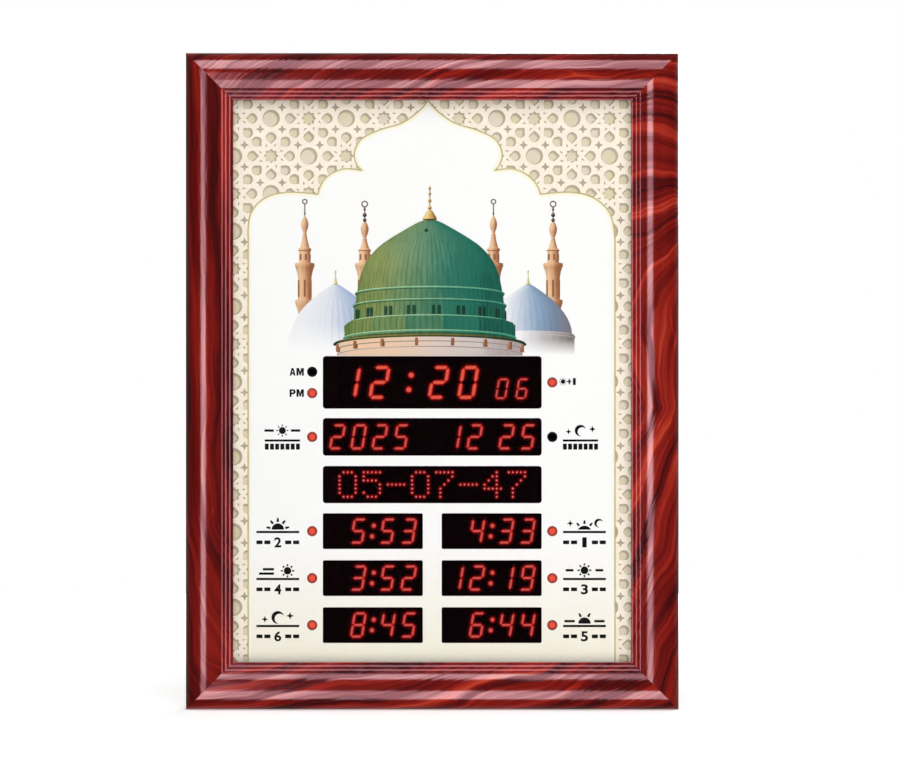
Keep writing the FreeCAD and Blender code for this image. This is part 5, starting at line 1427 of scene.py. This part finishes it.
def ray_lines(x, z, near, far, wide, turns):
    """Short bars that point away from a centre."""
    bars = []
    for turn in turns:
        a = math.radians(turn)
        out = Vector((math.cos(a), math.sin(a)))
        side = Vector((-out.y, out.x)) * wide / 2
        middle = Vector((x, z))
        corners = (out * near - side, out * far - side * 0.6, out * far + side * 0.6, out * near + side)
        bars.append([tuple(middle + corner) for corner in corners])
    return bars


ALL_ROUND = range(0, 360, 45)


def sun_lines(x, z, radius):
    near, far, wide = radius * 1.25, radius * 1.75, radius * 0.42
    return [ring(x, z, radius)] + ray_lines(x, z, near, far, wide, ALL_ROUND)


# %% Draw a half disc, a crescent and a small star
def half_disc(x, z, radius, drop=0.0):
    """The part of a disc that stands above a level, drop below the full half."""
    start = math.asin(drop / radius)
    turns = [start + (math.pi - 2 * start) * i / 16 for i in range(17)]
    return [(x + radius * math.cos(a), z - drop + radius * math.sin(a)) for a in turns]


MOON_TILT = -35.0


def crescent(x, z, radius):
    """A moon: a wide outer arc, and an inner arc about a shifted centre."""
    outer = [math.radians(48 + 264 * i / 20 + MOON_TILT) for i in range(21)]
    line = [(x + radius * math.cos(a), z + radius * math.sin(a)) for a in outer]
    tip = Vector(line[0]) - Vector(line[-1])
    middle = (Vector(line[0]) + Vector(line[-1])) / 2
    inner_radius = radius * 0.80
    away = Vector((math.cos(math.radians(MOON_TILT)), math.sin(math.radians(MOON_TILT))))
    middle = middle - away * math.sqrt(max(0.0, inner_radius**2 - tip.length_squared / 4))
    first = math.atan2(line[-1][1] - middle.y, line[-1][0] - middle.x)
    last = math.atan2(line[0][1] - middle.y, line[0][0] - middle.x)
    sweep = (last - first) % (2 * math.pi) - 2 * math.pi
    for i in range(1, 16):
        a = first + sweep * i / 16
        line.append((middle.x + inner_radius * math.cos(a), middle.y + inner_radius * math.sin(a)))
    return line


def small_star(x, z, radius):
    return [(x + a * radius, z + b * radius) for a, b in star(4, 1.0, 0.38)]


print("corners of a crescent", len(crescent(0, 0, 1)))


# %% Compose the sign of each day time
def day_sign(number, x, z):
    """Lines of the sign for one of the six day times; z is the horizon."""
    if number == 1:
        lines = [half_disc(x, z + 1.4, 5.8, 2.8), crescent(x + 11.0, z + 6.4, 3.4)]
        lines += [small_star(x - 11.0, z + 6.2, 2.6)]
        lines += ray_lines(x, z - 1.0, 6.8, 9.6, 1.9, (52, 90, 128))
    elif number == 2:
        lines = [half_disc(x, z + 1.4, 4.8)]
        lines += ray_lines(x, z + 1.4, 5.9, 9.0, 2.0, (12, 51, 90, 129, 168))
    elif number == 3:
        lines = [ring(x, z + 6.3, 3.0)]
        lines += ray_lines(x, z + 6.3, 3.7, 5.4, 1.6, ALL_ROUND)
        lines += [box_line(x + start, x + start + 6.0, z + 5.4, z + 7.2) for start in (-14.5, 8.5)]
    elif number == 4:
        lines = [ring(x + 7.5, z + 5.9, 2.9), box_line(x - 14.5, x - 3.0, z + 2.8, z + 4.6)]
        lines += [box_line(x - 11.5, x - 3.0, z + 6.2, z + 8.0)]
        lines += ray_lines(x + 7.5, z + 5.9, 3.6, 5.2, 1.5, ALL_ROUND)
    elif number == 5:
        lines = [half_disc(x, z + 1.4, 4.8)]
        lines += [box_line(x + start, x + start + 8.0, z + 2.4, z + 4.2) for start in (-15.5, 7.5)]
        lines += ray_lines(x, z + 1.4, 5.9, 9.0, 2.0, (62, 118))
    else:
        lines = [crescent(x, z + 6.2, 4.9), small_star(x + 9.5, z + 7.4, 3.0)]
        lines += [small_star(x - 10.0, z + 4.8, 2.6)]
    lines.append(box_line(x - 16.5, x + 16.5, z - 1.3, z + 0.4))
    for start in (-16.5, -10.4, 5.7, 11.8):
        lines.append(box_line(x + start, x + start + 4.7, z - 9.8, z - 7.0))
    return lines


# %% Lay out all the signs
SIGN_BACK = FIELD_BACK - LAYER - 0.02 * MM
signs = []
day_signs = []
for row, (left, right) in enumerate(((2, 1), (4, 3), (6, 5))):
    for number, x in ((left, -119.1), (right, 117.4)):
        day_signs.append((number, x, ROWS_Z[row] - 0.2))
for number, x, z in day_signs:
    signs += day_sign(number, x, z)

# the two calendars, and the summer hour: a small sun, a plus and the number one
SUN_X, MOON_X = -115.6, 114.3
signs += sun_lines(SUN_X, -38.1, 2.7)
signs += [box_line(SUN_X + s * 10.2 - 3.6, SUN_X + s * 10.2 + 3.6, -39.0, -37.2) for s in (-1, 1)]
signs += [crescent(MOON_X, -38.1, 4.4)]
signs += [small_star(MOON_X + 9.2, -37.0, 2.7), small_star(MOON_X - 9.2, -39.0, 2.3)]
for x in (SUN_X, MOON_X):
    signs.append(box_line(x - 13.6, x + 13.6, -46.6, -45.0))
    signs += [box_line(x + k * 4.0 - 1.5, x + k * 4.0 + 1.5, -52.8, -48.2) for k in range(-3, 4)]
signs += sun_lines(100.9, -0.3, 1.75) + [box_line(104.2, 107.2, -0.85, 0.25)]
signs += [box_line(105.15, 106.25, 0.25, 1.8), box_line(105.15, 106.25, -2.4, -0.85)]
settle(layer(signs, SIGN_BACK), "print_signs", black_ink)

# %% [markdown]
# The letters of the day halves, AM and PM, are heavier than a font makes them, so their outlines are
# written down and cut like the signs. A line inside a letter leaves a hole.

# %% Write the letters of the day halves
LETTERS = {
    "A": (
        ((0, 0), (0.33, 1), (0.67, 1), (1, 0), (0.70, 0), (0.635, 0.21), (0.365, 0.21), (0.30, 0)),
        ((0.42, 0.42), (0.58, 0.42), (0.50, 0.73)),
    ),
    "P": (
        ((0, 0), (0, 1), (0.62, 1), (0.88, 0.93), (1, 0.77), (1, 0.57), (0.88, 0.41), (0.62, 0.34),
         (0.33, 0.34), (0.33, 0)),
        ((0.33, 0.56), (0.55, 0.56), (0.65, 0.61), (0.65, 0.74), (0.55, 0.79), (0.33, 0.79)),
    ),
    "M": (
        ((0, 0), (0, 1), (0.34, 1), (0.50, 0.50), (0.66, 1), (1, 1), (1, 0), (0.73, 0), (0.73, 0.58),
         (0.59, 0.05), (0.41, 0.05), (0.27, 0.58), (0.27, 0)),
    ),
}


def spell(word, x, z, tall):
    """Closed lines of a short word round (x, z); a line inside a letter is a hole."""
    lines = []
    start = x - 5.5
    for letter in word:
        wide = 5.7 if letter == "M" else 4.6
        for line in LETTERS[letter]:
            lines.append([(start + a * wide, z + (b - 0.5) * tall) for a, b in line])
        start += wide + 0.7
    return lines


HALVES_X, LETTERS_TALL = -104.5, 5.8
halves = spell("AM", HALVES_X, AM_Z, LETTERS_TALL) + spell("PM", HALVES_X, PM_Z, LETTERS_TALL)
settle(layer(halves, SIGN_BACK), "print_day_halves", black_ink)

# %% [markdown]
# The numbers come from Blender's own font. The text is made heavier by its offset, turned into a
# mesh, and fitted to the width and height it has on the print.

# %% Write the numbers
def write(words, x, z, wide, tall, offset):
    """Words as a thin mesh round (x, z), fitted to a width and height in millimetres."""
    bpy.ops.object.text_add()
    text = bpy.context.object
    text.data.body = words
    text.data.size = 0.01
    text.data.offset = offset
    text.data.extrude = LAYER / 2
    text.data.resolution_u = 6
    take(text)
    bpy.ops.object.convert(target="MESH")
    text = bpy.context.object
    xs = [v.co.x for v in text.data.vertices]
    ys = [v.co.y for v in text.data.vertices]
    fit = Matrix.Diagonal((wide * MM / (max(xs) - min(xs)), tall * MM / (max(ys) - min(ys)), 1, 1))
    centre = Matrix.Translation((-(max(xs) + min(xs)) / 2, -(max(ys) + min(ys)) / 2, 0))
    upright = Matrix.Rotation(math.pi / 2, 4, "X")
    home = Matrix.Translation((x * MM, SIGN_BACK - LAYER / 2, z * MM))
    text.data.transform(home @ upright @ fit @ centre)
    return text


written = [write("1", 109.6, -0.3, 2.2, 5.4, 0.2 * MM)]
for number, x, z in day_signs:
    wide = 3.4 if number == 1 else 5.4
    written.append(write(str(number), x, z - 8.4, wide, 7.8, 0.3 * MM))
written = join(written)
edit()
mend()
leave()
settle(written, "print_numbers", black_ink)

# %% [markdown]
# ## The glow of the displays
# Light spreads a little in the case round each bar, so a bar has a bright middle, a red edge and a
# dim rim. Copies of the bars, grown or shrunk by an even offset and pressed thin, give each band.

# %% Grow the bars and dots into bands of light
BAND_THICK = 0.015 * MM


def band(source, grow, front, name, finish, keep=None):
    """A thin copy of all the shapes of a solid, grown sideways, with its front at y = front."""
    piece = bpy.data.objects.new(name, nodes[source].data.copy())
    bpy.context.collection.objects.link(piece)
    take(piece)
    edit()
    if keep:
        choose(lambda middle, normal: not keep(middle))
        bpy.ops.mesh.delete(type="FACE")
    bpy.ops.mesh.select_mode(type="VERT")
    mend()
    bpy.ops.transform.shrink_fatten(value=grow * MM, use_even_offset=True)
    bpy.ops.mesh.select_all(action="SELECT")
    depths = [v.co.y for v in bmesh.from_edit_mesh(piece.data).verts]
    near, far = min(depths), max(depths)
    bpy.ops.transform.resize(value=(1, BAND_THICK / (far - near), 1), center_override=(0, near, 0))
    bpy.ops.transform.translate(value=(0, front * MM - near, 0))
    bpy.ops.mesh.normals_make_consistent(inside=False)
    leave()
    settle(piece, name, finish)


# %% Lights from the dim rim to the hot middle
rim_dim = lit("light_rim_dim", "400607", 4.2)
rim_low = lit("light_rim_low", "6e0b0b", 3.9)
rim_red = lit("light_rim_red", "a81413", 4.0)
core_hot = lit("light_core_hot", "ff6a54", 6.2)
core_rose = lit("light_core_rose", "ff706c", 4.8)
core_pale = lit("light_core_pale", "ff7c7c", 4.0)
dot_pale = lit("light_dot_pale", "ff8888", 5.6)
print("lights ready")

# %% Lay the bands over the bars and dots
SECONDS_FROM_X, ROWS_BELOW_Z = 45 * MM, -25 * MM
RIM_FRONT, CORE_FRONT = -22.83, -23.12
STEP = 0.02


def in_rows(middle):
    return middle.z < ROWS_BELOW_Z


def in_seconds(middle):
    return middle.z > ROWS_BELOW_Z and middle.x > SECONDS_FROM_X


def in_time(middle):
    return middle.z > ROWS_BELOW_Z and middle.x < SECONDS_FROM_X


rims = ((1.7, "dim", rim_dim), (0.9, "low", rim_low), (0.35, "red", rim_red))
for step, (grow, name, finish) in enumerate(rims):
    band("lit_segments", grow, RIM_FRONT - STEP * step, "light_segment_rim_" + name, finish)
for shrink, name, finish, keep in (
    (0.42, "time", core_hot, in_time),
    (0.34, "rows", core_rose, in_rows),
    (0.30, "seconds", core_pale, in_seconds),
):
    band("lit_segments", -shrink, CORE_FRONT, "light_segment_core_" + name, finish, keep)
band("lit_matrix_dots", 1.0, RIM_FRONT - STEP / 2, "light_dot_rim_low", rim_low)
band("lit_matrix_dots", -0.42, CORE_FRONT, "light_dot_core", dot_pale)
dress("lit_matrix_dots", lit("lit_dot_red", "c4201f", 5.2))
dress("lit_lamps", lit("lit_lamp", "ff5a45", 7.6))

# %% [markdown]
# ## The lamps
# Each small lamp has a bright middle in a darker collar, which fills its hole in the print. Round a lit
# lamp the collar glows a dim red, painted light that stands for the lamp's light spilling into it; round
# a dark lamp it is black. The collar is a short tube, turned from its outline.

# %% Turn the collars of the lamps
COLLAR_TALL = 1.0
collar_line = [(2.35, 0.0), (3.98, 0.0), (3.98, COLLAR_TALL), (3.6, 1.04), (2.6, 0.5), (2.35, 0.0)]
collar = lathe(collar_line, 32)
collar.data.transform(Matrix.Rotation(math.pi / 2, 4, "X"))
dark_lamps = {(-LAMP_X, AM_Z), (LAMP_X, DATE_Z)}
lit_collars, dark_collars = [], []
for x, z in lamp_spots:
    copies = dark_collars if (x, z) in dark_lamps else lit_collars
    copies.append(twin(collar, Matrix.Translation((x * MM, FACE + COLLAR_TALL * MM, z * MM))))
bpy.data.objects.remove(collar)
# painted light: the collars of lit lamps glow a dim red, as if the lamp's light spilled into them
collar_glow = lit("lamp_collar_glow", "84332a", 0.42)
settle(join(lit_collars), "lamp_collars_lit", collar_glow)
settle(join(dark_collars), "lamp_collars_dark", black_ink)
